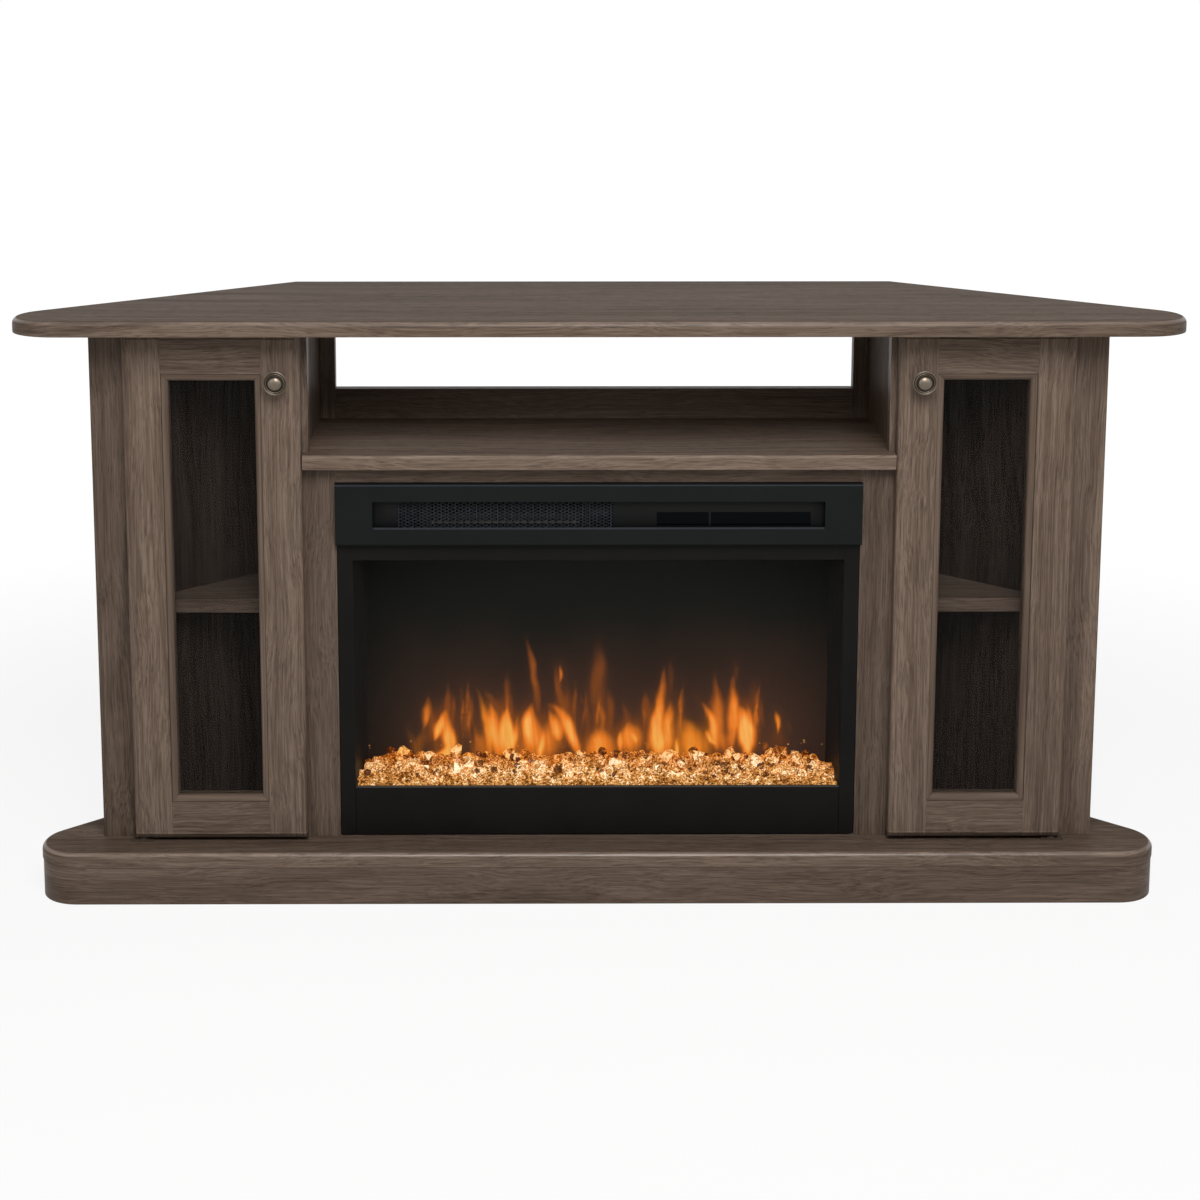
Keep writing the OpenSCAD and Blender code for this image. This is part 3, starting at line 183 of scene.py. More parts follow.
class WoodSettings(bpy.types.PropertyGroup):
    """The wood grain of the cabinet"""

    light: colour("Light grain", "Colour of the light streaks", 124, 107, 94)
    middle: colour("Middle grain", "Colour between the streaks", 102, 86, 74)
    dark: colour("Dark grain", "Colour of the dark streaks", 78, 64, 54)
    pore: colour("Pores", "Colour of the fine pores", 54, 44, 37)
    ring: length("Ring spacing", "Distance between two growth rings", 0.0065, 0.001, 0.05)
    gloss: share("Roughness", "Roughness of the satin surface", 0.44)
    easing: length("Eased edge", "Width of the eased edges of the boards", 0.0006, 0.0001, 0.003)


class MetalSettings(bpy.types.PropertyGroup):
    """The metals of the firebox and the fittings"""

    hood: colour("Hood", "Satin paint of the hood", 18, 21, 20)
    trim: colour("Frame", "Satin paint of the lower frame", 20, 19, 18)
    # lighter than the real black paint, as painted light for the deep, shaded liners
    inside: colour("Inside", "Paint inside the firebox", 38, 37, 35)
    steel: colour("Steel", "Zinc-plated steel", 150, 152, 154)
    brass: colour("Brass", "Bright metal of the knobs", 112, 102, 90)
    patina: colour("Patina", "Dark metal in the knobs' hollows", 44, 39, 34)
    edge: length("Folded edge", "Width of the metal's soft edges", 0.0007, 0.0001, 0.003)


class GrilleSettings(bpy.types.PropertyGroup):
    """The fine steel mesh in front of the heater"""

    pitch: length("Pitch", "Distance between two holes, one over the other", 0.0041, 0.003, 0.02)
    web: length("Web", "Width of the wire between two holes", 0.0011, 0.0003, 0.004)
    thickness: length("Thickness", "Thickness of the mesh", 0.0006, 0.0002, 0.002)
    wire: colour("Wire", "Colour of the mesh", 55, 58, 63)


class EmberSettings(bpy.types.PropertyGroup):
    """The bed of glass chips"""

    chips: number("Chips", "Number of small chips", 1000, 100, 6000)
    lumps: number("Lumps", "Number of clustered lumps", 330, 10, 1500)
    stones: number("Stones", "Number of dark and clear stones", 90, 4, 400)
    chip: length("Chip size", "Middle radius of a small chip", 0.0026, 0.001, 0.01)
    lump: length("Lump size", "Middle radius of a lump", 0.0078, 0.003, 0.02)
    grit: length("Glitter", "Width of one glittering grain", 0.0017, 0.0005, 0.01)
    clear: colour("Clear glass", "Colour of the bright facets", 255, 238, 202)
    pale: colour("Pale amber", "Colour of the lit grains", 228, 172, 100)
    amber: colour("Amber", "Colour of most grains", 170, 106, 40)
    brown: colour("Brown", "Colour of the shaded grains", 78, 42, 15)
    glow: share("Glow", "Light that shines through the glass", 0.72, 4.0)


class FlameSettings(bpy.types.PropertyGroup):
    """The flames that play on the screen"""

    core: colour("Core", "Colour of the brightest light", 255, 180, 88)
    body: colour("Body", "Colour of a bright flame", 240, 126, 37)
    dim: colour("Dim flame", "Colour of a faint flame", 128, 68, 27)
    trace: colour("Trace", "Colour of the last light at a tip", 66, 42, 29)
    haze: colour("Haze", "Glow of the screen behind the flames", 70, 46, 35)
    screen: colour("Screen", "Colour of the unlit screen", 19, 20, 17)
    bright: share("Brightness", "Strength of the flames' light", 1.0, 5.0)


class StageSettings(bpy.types.PropertyGroup):
    """The camera and the lamps"""

    lens: FloatProperty(name="Lens", description="Focal length", subtype="DISTANCE_CAMERA",
                        default=66.268, min=10, max=300)
    place: FloatVectorProperty(name="Camera", description="Place of the camera",
                               subtype="TRANSLATION", unit="LENGTH", size=3,
                               default=(-0.07939, -2.83964, 1.12669))
    pitch: angle("Pitch", "How far the camera looks down", 9.1765)
    turn: angle("Turn", "How far the camera looks to the right", 0.2713)
    key: power("Side lamps", "Power of the two large side lamps", 10)
    front: power("Front lamp", "Power of the lamp over the camera", 90)
    back: power("Back lamp", "Power of the lamp behind the piece", 32)
    sky: share("Sky", "Strength of the light from all round", 0.13, 4.0)


SETTINGS = {"fireplace_wood": WoodSettings, "fireplace_metal": MetalSettings,
            "fireplace_grille": GrilleSettings, "fireplace_ember": EmberSettings,
            "fireplace_flame": FlameSettings, "fireplace_stage": StageSettings}


# ---------- materials ----------

def sums(operation):
    """A method that does one of the shader's sums on values and numbers."""
    def method(self, *others):
        inputs = dict(enumerate((self, *others)))
        return self.finish.value("ShaderNodeMath", {"operation": operation}, inputs)
    return method


class Value:
    """A number in a material that changes over the surface, with the usual sums."""

    def __init__(self, finish, socket):
        self.finish, self.socket = finish, socket

    def __rsub__(self, other):
        return self * -1 + other

    __add__ = __radd__ = sums("ADD")
    __mul__ = __rmul__ = sums("MULTIPLY")
    __sub__, __truediv__, __pow__ = sums("SUBTRACT"), sums("DIVIDE"), sums("POWER")
    size, root, over = sums("ABSOLUTE"), sums("SQRT"), sums("GREATER_THAN")
    most, least = sums("MAXIMUM"), sums("MINIMUM")

    def step(self, low, high):
        """0 below low, 1 above high, and smooth in between."""
        return self.finish.value("ShaderNodeMapRange", {"interpolation_type": "SMOOTHSTEP"},
                                 {"Value": self, "From Min": low, "From Max": high})


class Finish:
    """One material, or the world, whose shader maths is written as sums of values."""

    def __init__(self, name, owner=None):
        self.owner = owner or bpy.data.materials.new(name)
        self.owner.use_nodes = True
        self.tree = self.owner.node_tree
        self.tree.nodes.clear()

    def node(self, kind, settings=None, inputs=None):
        made = self.tree.nodes.new(kind)
        for key, value in (settings or {}).items():
            if key == "stops":
                ramp = made.color_ramp
                while len(ramp.elements) < len(value):
                    ramp.elements.new(0.5)
                for element, (place, rgb) in zip(ramp.elements, value):
                    element.position, element.color = place, (*rgb, 1)
            else:
                setattr(made, key, value)
        for key, value in (inputs or {}).items():
            if isinstance(value, Value):
                self.tree.links.new(value.socket, made.inputs[key])
            elif isinstance(value, tuple) and len(value) == 3 and made.inputs[key].type == "RGBA":
                made.inputs[key].default_value = (*value, 1)
            else:
                made.inputs[key].default_value = value
        return made

    def value(self, kind, settings=None, inputs=None, output=0):
        return Value(self, self.node(kind, settings, inputs).outputs[output])

    def place(self):
        """The point on the piece in metres, kept whole as point and given as three values."""
        self.point = self.value("ShaderNodeTexCoord", output="Object")
        return self.parts(self.point)

    def parts(self, vector):
        """The three numbers of a vector or colour."""
        split = self.node("ShaderNodeSeparateXYZ", inputs={0: vector})
        return [Value(self, out) for out in split.outputs]

    def vector(self, x, y, z):
        return self.value("ShaderNodeCombineXYZ", inputs={0: x, 1: y, 2: z})

    def attribute(self, name):
        return self.value("ShaderNodeAttribute", {"attribute_name": name}, output="Fac")

    def noise(self, vector, detail=2.0, roughness=0.5, scale=1.0):
        return self.value("ShaderNodeTexNoise", inputs={
            "Vector": vector, "Scale": scale, "Detail": detail, "Roughness": roughness})

    def cells(self, vector, output="Distance"):
        return self.value("ShaderNodeTexVoronoi", inputs={"Vector": vector, "Scale": 1.0},
                          output=output)

    def mix(self, factor, first, second, blend="MIX"):
        """One colour over another. A factor is between 0, the first, and 1, the second."""
        return self.value("ShaderNodeMix", {"data_type": "RGBA", "blend_type": blend},
                          {0: factor, 6: first, 7: second}, output=2)

    def shade(self, base, *by):
        """A colour times one factor, or times one for each of its channels."""
        return self.mix(1.0, base, by if len(by) == 3 else by * 3, "MULTIPLY")

    def ramp(self, factor, stops):
        return self.value("ShaderNodeValToRGB", {"stops": stops}, {0: factor})

    def surface(self, base, rough, shine=0.5, bump=None, **others):
        """Ends the material in one principled surface. shine is its specular level, bump the
        height, strength and distance of its relief, and other sockets go by their names."""
        inputs = {"Base Color": base, "Roughness": rough, "Specular IOR Level": shine}
        if bump:
            inputs["Normal"] = self.value("ShaderNodeBump", inputs=dict(
                zip(("Height", "Strength", "Distance"), bump)))
        inputs.update({key.replace("_", " "): value for key, value in others.items()})
        return self.ended(self.value("ShaderNodeBsdfPrincipled", inputs=inputs))

    def ended(self, shader, kind="Material"):
        self.node(f"ShaderNodeOutput{kind}", inputs={"Surface": shader})
        return self.owner


def wood(name, node, along, seed, heart=0.0, depth=0.06, tone=1.0, rim=0.0, inside=0.0,
         wrapped=False, lip=False):
    """Satin walnut whose grain runs along one axis. heart is how far across the board the
    tree's middle lay, and depth how far below its face: near and shallow gives arches. tone
    is its brightness. rim is how much lighter the edges of a flat board are than its top, as
    painted light, and it adds a painted highlight band on the round-over under the top edge.
    inside is the brightness of a panel's face in the tower, darkened there as painted shade.
    The grain of a wrapped board runs on round its corners, and lip gives a door a band of
    painted shade along its lower edge, with a painted highlight line along the band's top."""
    look = bpy.context.scene.fireplace_wood
    low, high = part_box(node)
    axis = "XYZ".index(along)
    thin, wide = sorted((k for k in range(3) if k != axis), key=lambda k: high[k] - low[k])
    f = Finish(name)
    place = f.place()
    if wrapped:
        sides = (high.z - place[2]).step(0.0002, 0.0009) * (place[2] - low.z).step(0.0, 0.0005)
        place[1 - axis] = place[1 - axis] * (1 - sides)
    grain = place[axis] + 0.37 * seed
    side = place[wide] - (low[wide] + high[wide]) / 2 - heart
    deep = place[thin] - low[thin] + depth

    def waves(along, across, down, **options):
        """Soft noise round nought, with its own fineness along the grain."""
        return f.noise(f.vector(grain * along, across, down), **options) - 0.5

    def streaks(along, fineness, **options):
        return waves(along, (place[wide] + sway) * fineness + seed,
                     (place[thin] + sway) * fineness, **options)

    sway = waves(3.4, side * 9 + seed, deep * 9) * 0.045
    wander = waves(1.3, side * 3 + seed, deep * 3)
    rise = waves(2.1, side * 2 + seed + 7, 0.5, detail=1)
    ring = ((side + wander * 0.06) ** 2.0 + (deep + rise * 0.09) ** 2.0).root() / look.ring
    bands = waves(0.7, ring * 0.2, seed, detail=1)
    growth = waves(1.8, ring, seed, detail=3, roughness=0.62)
    fibre = streaks(9, 480, detail=3, roughness=0.62)
    pores = streaks(45, 760, detail=1).step(0.05, 0.2)
    shade = bands * 0.8 + growth * 0.85 + fibre * 1.5 + 0.53
    base = f.ramp(shade, [(0.14, look.dark), (0.5, look.middle), (0.88, look.light)])
    base = f.mix(pores * 0.42, base, tuple(look.pore))
    if tone != 1.0:
        base = f.shade(base, tone)
    shine, coat = 0.12, {}
    if rim:
        # Painted light: the edges are lighter than the top, and highlight_band is a painted
        # highlight on the round-over under the top edge, glossed with a coat
        under = high.z - place[2]
        edge = under.step(0.0003, 0.0014)
        highlight_band = edge * (1 - under.step(0.0028, 0.0052))
        base = f.mix(edge, base, f.shade(base, 1 + rim))
        base = f.mix(highlight_band, base, f.shade(base, 1.3))
        shine, coat = 0.01, {"Coat_Weight": highlight_band * 0.6 + edge * 0.2, "Coat_Roughness": 0.28}
    if inside:
        # Painted shade: the panel's face inside its tower is made darker
        plane, normal = middle_plane(nodes[node])
        behind = place[0] * normal.x + place[1] * normal.y - plane
        base = f.mix(behind.over(0.0), base, f.shade(base, inside))
        shine = 0.008
    if lip:
        # Painted shade on the door's downward-facing lower edge, with a painted highlight line
        # along the top of that band
        above = place[2] - low.z
        lower_edge_shade = 1 - above.step(0.0056, 0.0066)
        base = f.mix(lower_edge_shade, base, f.shade(base, 0.5))
        wear_and_highlight = 1 - (above - 0.0076).size().step(0.0004, 0.0013)
        base = f.mix(wear_and_highlight, base, f.shade(base, 1.3))
    height = fibre * 0.5 - pores * 0.6 + growth * 0.3
    return f.surface(base, pores * 0.12 - growth * 0.1 + look.gloss, shine,
                     (height, 0.3, 0.0003), **coat)


def middle_plane(piece):
    """Where a panel's middle plane lies, and its normal towards the inside of its tower."""
    broad = max(piece.data.polygons, key=lambda face: face.area)
    normal = Vector((broad.normal.x, broad.normal.y, 0)).normalized()
    middle = sum((v.co for v in piece.data.vertices), Vector()) / len(piece.data.vertices)
    inward = Vector((math.copysign(0.48, middle.x), -0.02, 0)) - middle
    if inward.dot(normal) < 0:
        normal = -normal
    return middle.dot(normal), normal


def bead_wood(name, seed, low, high):
    """Wood of a mitred frame: each of its four sides has its own grain, and a painted shadow line
    runs along its outer edge.
    """
    look = bpy.context.scene.fireplace_wood
    f = Finish(name)
    x, y, z = f.place()
    from_sides = (high.x - low.x) / 2 - (x - (low.x + high.x) / 2).size()
    from_ends = (high.z - low.z) / 2 - (z - (low.z + high.z) / 2).size()
    upright = (from_ends - from_sides).over(0.0)
    mitre = (from_ends - from_sides).size().step(0.0, 0.0006)

    def streaks(length_scale, width_scale, detail):
        up = f.noise(f.vector(z * length_scale, x * width_scale + seed, y * width_scale), detail)
        flat = f.noise(f.vector(x * length_scale, z * width_scale + seed, y * width_scale), detail)
        return up * upright + flat * (1 - upright) - 0.5

    shade = streaks(1.5, 60, 2) * 0.9 + streaks(9, 420, 2) * 0.9 + 0.5
    base = f.ramp(shade, [(0.14, look.dark), (0.5, look.middle), (0.88, look.light)])
    # Painted shadow: a dark line along the bead's outer edge, in the gap to the frame; the dark
    # mitre lines are the joints
    gap_shadow_line = 1 - from_sides.least(from_ends).step(0.0004, 0.0013)
    base = f.mix(((1 - mitre) * 0.6).most(gap_shadow_line * 0.85), base, tuple(look.pore))
    return f.surface(base, look.gloss, 0.12, (streaks(7, 700, 2), 0.25, 0.0003))


PEBBLE = 1900


def satin_coat(f, rgb):
    """Powder coat's faint cloudy wear, and its colour."""
    cloud = f.noise(f.point, 3, 0.6, 14) - 0.5
    return cloud, f.mix((cloud * 1.6 + 0.5).step(0.0, 1.0), times(rgb, 0.86), times(rgb, 1.18))


def painted_steel(name, rgb, lit_edge_height=None):
    """Satin powder coat with a fine pebbled skin and, when a height is given, a painted
    highlight: a much paler line along the folded top edge just under that height."""
    f = Finish(name)
    *_, z = f.place()
    cloud, base = satin_coat(f, rgb)
    if lit_edge_height is not None:
        # Painted highlight along the panel's top edge
        base = f.mix((z - lit_edge_height).step(-0.0016, -0.0008), base, times(rgb, 9))
    return f.surface(base, cloud * 0.12 + 0.48, 0.07,
                     (f.noise(f.point, 2, 0.6, PEBBLE), 0.3, 0.00012))


def bare_metal(name, rgb, along="X", roughness=0.34, streak=320):
    """Plated metal with the fine lines of its rolling or turning."""
    f = Finish(name)
    x, y, z = f.place()
    grain, side, deep = {"X": (x, y, z), "Y": (y, x, z), "Z": (z, x, y)}[along]
    lines = f.noise(f.vector(grain * 6, side * streak, deep * streak), 3, 0.6) - 0.5
    cloud = f.noise(f.point, 2, 0.5, 45) - 0.5
    base = f.mix((lines + cloud + 0.5).step(0.1, 0.9), times(rgb, 0.7), tuple(rgb))
    return f.surface(base, lines * 0.3 + cloud * 0.2 + roughness, bump=(lines, 0.15, 0.0002),
                     Metallic=1.0)


def plain_part(name, rgb, roughness=0.5, speck=900, shine=0.4):
    """Moulded or pressed material with a fine speckle."""
    f = Finish(name)
    f.place()
    grit = f.noise(f.point, 2, 0.6, speck)
    base = f.mix(grit.step(0.3, 0.7), times(rgb, 0.8), times(rgb, 1.15))
    return f.surface(base, grit * 0.12 + roughness - 0.06, shine, (grit, 0.15, 0.0001))


def pane(name, rgb, shade_cover, dust):
    """Clear sheet glass, seen mostly by its gloss, with a trace of dust in cloudy patches, and a
    dark cover all over that darkens what lies behind it as painted shade.
    """
    f = Finish(name)
    x, y, z = f.place()
    smear = f.noise(f.vector(x * 2, y, z * 2), 3, 0.6, 5)
    # Painted shade: the cover makes the glass partly dark all over, darkening what lies behind it
    return f.surface(tuple(rgb), smear * 0.05 + 0.03, 0.2,
                     Alpha=smear.step(0.45, 0.9) * dust + shade_cover)


# ---------- shapes ----------

SHARP = math.radians(40)  # an edge between two faces is eased where they turn more


def deselect():
    if bpy.context.object and bpy.context.object.mode != "OBJECT":
        bpy.ops.object.mode_set(mode="OBJECT")
    bpy.ops.object.select_all(action="DESELECT")


def pick(piece):
    deselect()
    piece.select_set(True)
    bpy.context.view_layer.objects.active = piece


def add(name, data):
    """A new object in the scene."""
    made = bpy.data.objects.new(name, data)
    bpy.context.scene.collection.objects.link(made)
    return made


def select_all():
    bpy.ops.mesh.select_all(action="SELECT")


@contextmanager
def editing(piece):
    """Edit mode, with all of the piece's mesh selected at first."""
    pick(piece)
    bpy.ops.object.mode_set(mode="EDIT")
    select_all()
    yield
    bpy.ops.object.mode_set(mode="OBJECT")


def apply_place():
    """Puts the place, the turn and the size of the picked piece into its mesh."""
    bpy.ops.object.transform_apply(location=True, rotation=True, scale=True)


def dress(piece, material):
    """Gives a piece one material all over."""
    piece.data.materials.clear()
    piece.data.materials.append(material)
    for face in piece.data.polygons:
        face.material_index = 0


def settle(piece, name, body, material, slot, *replaced):
    """Names a finished piece, puts its place into its mesh, gives it its material, and makes
    it ride on its body, in the stead of the CAD nodes that it replaces."""
    pick(piece)
    apply_place()
    piece.name = piece.data.name = name
    dress(piece, material)
    if replaced:
        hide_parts(*replaced)
    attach(piece, body)


def modify(piece, kind, apply=True, **settings):
    """Adds a modifier, and applies it unless the piece keeps it."""
    modifier = piece.modifiers.new(kind.title(), kind)
    for key, value in settings.items():
        setattr(modifier, key, value)
    if apply:
        pick(piece)
        bpy.ops.object.modifier_apply(modifier=modifier.name)


def repeat(piece, count, *step):
    """Makes a piece a row of copies, a step apart."""
    modify(piece, "ARRAY", count=count, use_relative_offset=False, use_constant_offset=True,
           constant_offset_displace=step)


def ease(node, width):
    """Softens the sharp edges of a CAD node with modifiers, and leaves its mesh alone."""
    piece = nodes[node]
    modify(piece, "WELD", False, merge_threshold=0.00003)
    modify(piece, "BEVEL", False, width=width, segments=2, limit_method="ANGLE",
           angle_limit=SHARP, use_clamp_overlap=True, miter_outer="MITER_SHARP")


def cast(node, name, width):
    """A smooth copy of a CAD node: merged, with whole faces, soft edges and even shading."""
    piece = add(name, nodes[node].data.copy())
    with editing(piece):
        bpy.ops.mesh.remove_doubles(threshold=0.000005)
        bpy.ops.mesh.dissolve_limited(angle_limit=math.radians(1))
    modify(piece, "BEVEL", width=width, segments=2, limit_method="ANGLE",
           angle_limit=SHARP)
    pick(piece)
    bpy.ops.object.shade_smooth_by_angle(angle=math.radians(32))
    modify(piece, "WEIGHTED_NORMAL", keep_sharp=True)
    return piece


def turned(profile, steps, axis_at):
    """A piece turned on a lathe: the profile's radii and heights, spun about the line along Y
    through a point, with the heights towards -Y."""
    deselect()
    bpy.ops.mesh.primitive_plane_add(size=0.001, location=axis_at)
    piece = bpy.context.object
    with editing(piece):
        bpy.ops.mesh.merge(type="CENTER")
        radius, height = profile[0]
        bpy.ops.transform.translate(value=(radius, -height, 0))
        for (r0, h0), (r1, h1) in zip(profile, profile[1:]):
            bpy.ops.mesh.extrude_vertices_move(
                TRANSFORM_OT_translate={"value": (r1 - r0, h0 - h1, 0)})
        select_all()
        bpy.ops.mesh.spin(steps=steps, angle=2 * math.pi, center=axis_at, axis=(0, 1, 0))
        select_all()
        bpy.ops.mesh.remove_doubles(threshold=0.00001)
        bpy.ops.mesh.normals_make_consistent(inside=False)
    bpy.ops.object.shade_smooth_by_angle(angle=math.radians(38))
    return piece


def joined(pieces):
    """Several pieces made one."""
    deselect()
    for piece in pieces:
        piece.select_set(True)
    bpy.context.view_layer.objects.active = pieces[0]
    bpy.ops.object.join()
    return pieces[0]


def ready(*names):
    """Raises an error if the packed solids lack a node that a piece stands on."""
    missing = [n for n in names if n not in nodes]
    if missing:
        raise RuntimeError(f"the packed part has no node {missing}")


# ---------- the cabinet ----------

class FIREPLACE_OT_boards(bpy.types.Operator):
    """Grain and eased edges on the flat boards of the cabinet"""

    bl_idname = "fireplace.boards"
    bl_label = "Flat boards"

    def execute(self, context):
        ready(*BOARDS)
        look = context.scene.fireplace_wood
        # Board tones: the surround stiles are darkened as painted shade and the tower shelves
        # lightened as painted light; the other tones only make boards a little darker or lighter
        tones = {"left_outer_stile": 0.8, "tower_shelves": 1.3, "left_surround_stile": 0.77,
                 "right_surround_stile": 0.74, "surround_rail": 0.86}
        for seed, (node, along) in enumerate(BOARDS.items(), start=3):
            if node in ("top_slab", "base_board", "skirt_front"):
                continue
            panel = node.endswith("panel")
            # rim paints the media shelf's edges lighter than its top as painted light, and inside
            # darkens each panel's face in the tower as painted shade
            dress(nodes[node], wood(
                f"wood_{node}", node, along, seed, depth=0.08,
                heart=0.16 if along == "Z" and not panel else 0.02,
                tone=tones.get(node, 0.96 + 0.02 * (seed % 4)),
                rim=0.07 if node == "media_shelf" else 0, inside=0.42 if panel else 0,
                wrapped=node == "skirt_sides"))
            ease(node, look.easing)
        return {"FINISHED"}


class FIREPLACE_OT_round_boards(bpy.types.Operator):
    """The top, the base and the skirt, with smooth round corners"""

    bl_idname = "fireplace.round_boards"
    bl_label = "Round boards"

    def execute(self, context):
        ready("top_slab", "base_board", "skirt_front")
        # The last column, rim, paints the edges lighter than the top as painted light, with a
        # painted highlight on the round-over
        for seed, (node, name, heart, depth, tone, rim) in enumerate((
                ("top_slab", "top", 0.03, 0.035, 0.85, 0.11),
                ("base_board", "base_top", 0.02, 0.05, 0.9, 0.1),
                ("skirt_front", "base_front", -0.14, 0.03, 0.865, 0)), start=41):
            grain = wood(f"wood_{name}", node, "X", seed, heart, depth, tone, rim, wrapped=True)
            settle(cast(node, name, 0.0008), name, "cabinet", grain, "wood", node)
        return {"FINISHED"}


class FIREPLACE_OT_doors(bpy.types.Operator):
    """Grain on the doors' frames and beads, and their glass"""

    bl_idname = "fireplace.doors"
    bl_label = "Doors"

    def execute(self, context):
        look = context.scene.fireplace_wood
        glass = pane("door_glass_clear", tint(20, 18, 17), 0.16, 0.05)
        seed = 60
        for side in ("left", "right"):
            for part, along in DOOR_BOARDS.items():
                seed += 3
                node = f"{side}_{part}"
                dress(nodes[node], wood(f"wood_{node}", node, along, seed, 0.11, 0.05,
                                        0.95 + 0.03 * (seed % 4), lip=part != "top_rail"))
                ease(node, look.easing * 0.7)
            bead = f"{side}_bead"
            dress(nodes[bead], bead_wood(f"wood_{bead}", seed, *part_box(bead)))
            ease(bead, look.easing * 0.5)
            dress(nodes[f"{side}_glass"], glass)
        return {"FINISHED"}


class FIREPLACE_OT_knobs(bpy.types.Operator):
    """Turned knobs of aged brass, with a ringed rim and a dome"""

    bl_idname = "fireplace.knobs"
    bl_label = "Knobs"

    def execute(self, context):
        for side in ("left", "right"):
            low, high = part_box(f"{side}_knob")
            centre = (low + high) / 2
            radius = (high.x - low.x) / 2
            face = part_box(f"{side}_knob_stile")[0].y
            proj = face - low.y
            piece = turned(self.profile(radius, proj, high.y - face), 64,
                           (centre.x, face, centre.z))
            settle(piece, f"{side}_turned_knob", f"{side}_door",
                   self.aged_brass(side, centre, face, radius, proj), "aged_brass",
                   f"{side}_knob")
        return {"FINISHED"}

    def profile(self, *metres):
        """The outline from the root behind the door to the top of the dome, as radii and
        heights. It is worked out in millimetres."""
        edge, proj, depth = (value * 1000 for value in metres)
        rim, dome = proj - 6, edge * 0.62
        points = [(0, -depth), (4, -depth), (4, 1.2 - depth), (2, 1.2 - depth), (2, 0), (7.2, 0),
                  (7.5, 0.3), (7.5, 1.2), (6.9, 1.9), (5.4, 3), (4.7, 5), (4.5, rim - 9),
                  (5, rim - 7), (7.5, rim - 4.6), (edge - 3, rim - 2.6), (edge - 0.8, rim - 1.5)]
        for degrees in range(-60, 91, 25):
            a = math.radians(degrees)
            points.append((edge - 1.1 + 1.1 * math.cos(a), rim + 1.1 * math.sin(a)))
        points += [(edge - inset, rim + rise) for inset, rise in (
            (2.2, 0.2), (2.7, -0.1), (3.2, 0.35), (3.7, 0.7), (4.3, 0.5), (4.9, -0.2))]
        points.append((dome, rim + 0.1))
        for degrees in range(10, 90, 10):
            a = math.radians(degrees)
            points.append((dome * math.cos(a), rim + 0.8 + 5.2 * math.sin(a)))
        points.append((0, proj))
        return [(radius / 1000, height / 1000) for radius, height in points]

    def aged_brass(self, side, centre, face, radius, proj):
        look = bpy.context.scene.fireplace_metal
        f = Finish(f"aged_brass_{side}")
        x, y, z = f.place()
        off = ((x - centre.x) ** 2.0 + (z - centre.z) ** 2.0).root()
        hollow = 1 - ((off - (radius - 0.0049)) * 900).size().step(0.3, 1.2)
        groove = 1 - ((off - (radius - 0.0026)) * 1500).size().step(0.0, 1.0)
        stain = f.noise(f.point, 4, 0.65, 420)
        wear_and_highlight = f.noise(f.point, 2, 0.5, 130)
        dark = (hollow * 0.95).most(groove * 0.85).most(stain.step(0.52, 0.72) * 0.45)
        dark = dark.most((y - (face - proj * 0.7)).step(0.0, 0.004) * 0.8)
        base = f.mix(dark, tuple(look.brass), tuple(look.patina))
        return f.surface(base, dark * 0.3 + wear_and_highlight * 0.12 + 0.27, bump=(stain, 0.12, 0.0002),
                         Metallic=1.0)


# ---------- the firebox ----------

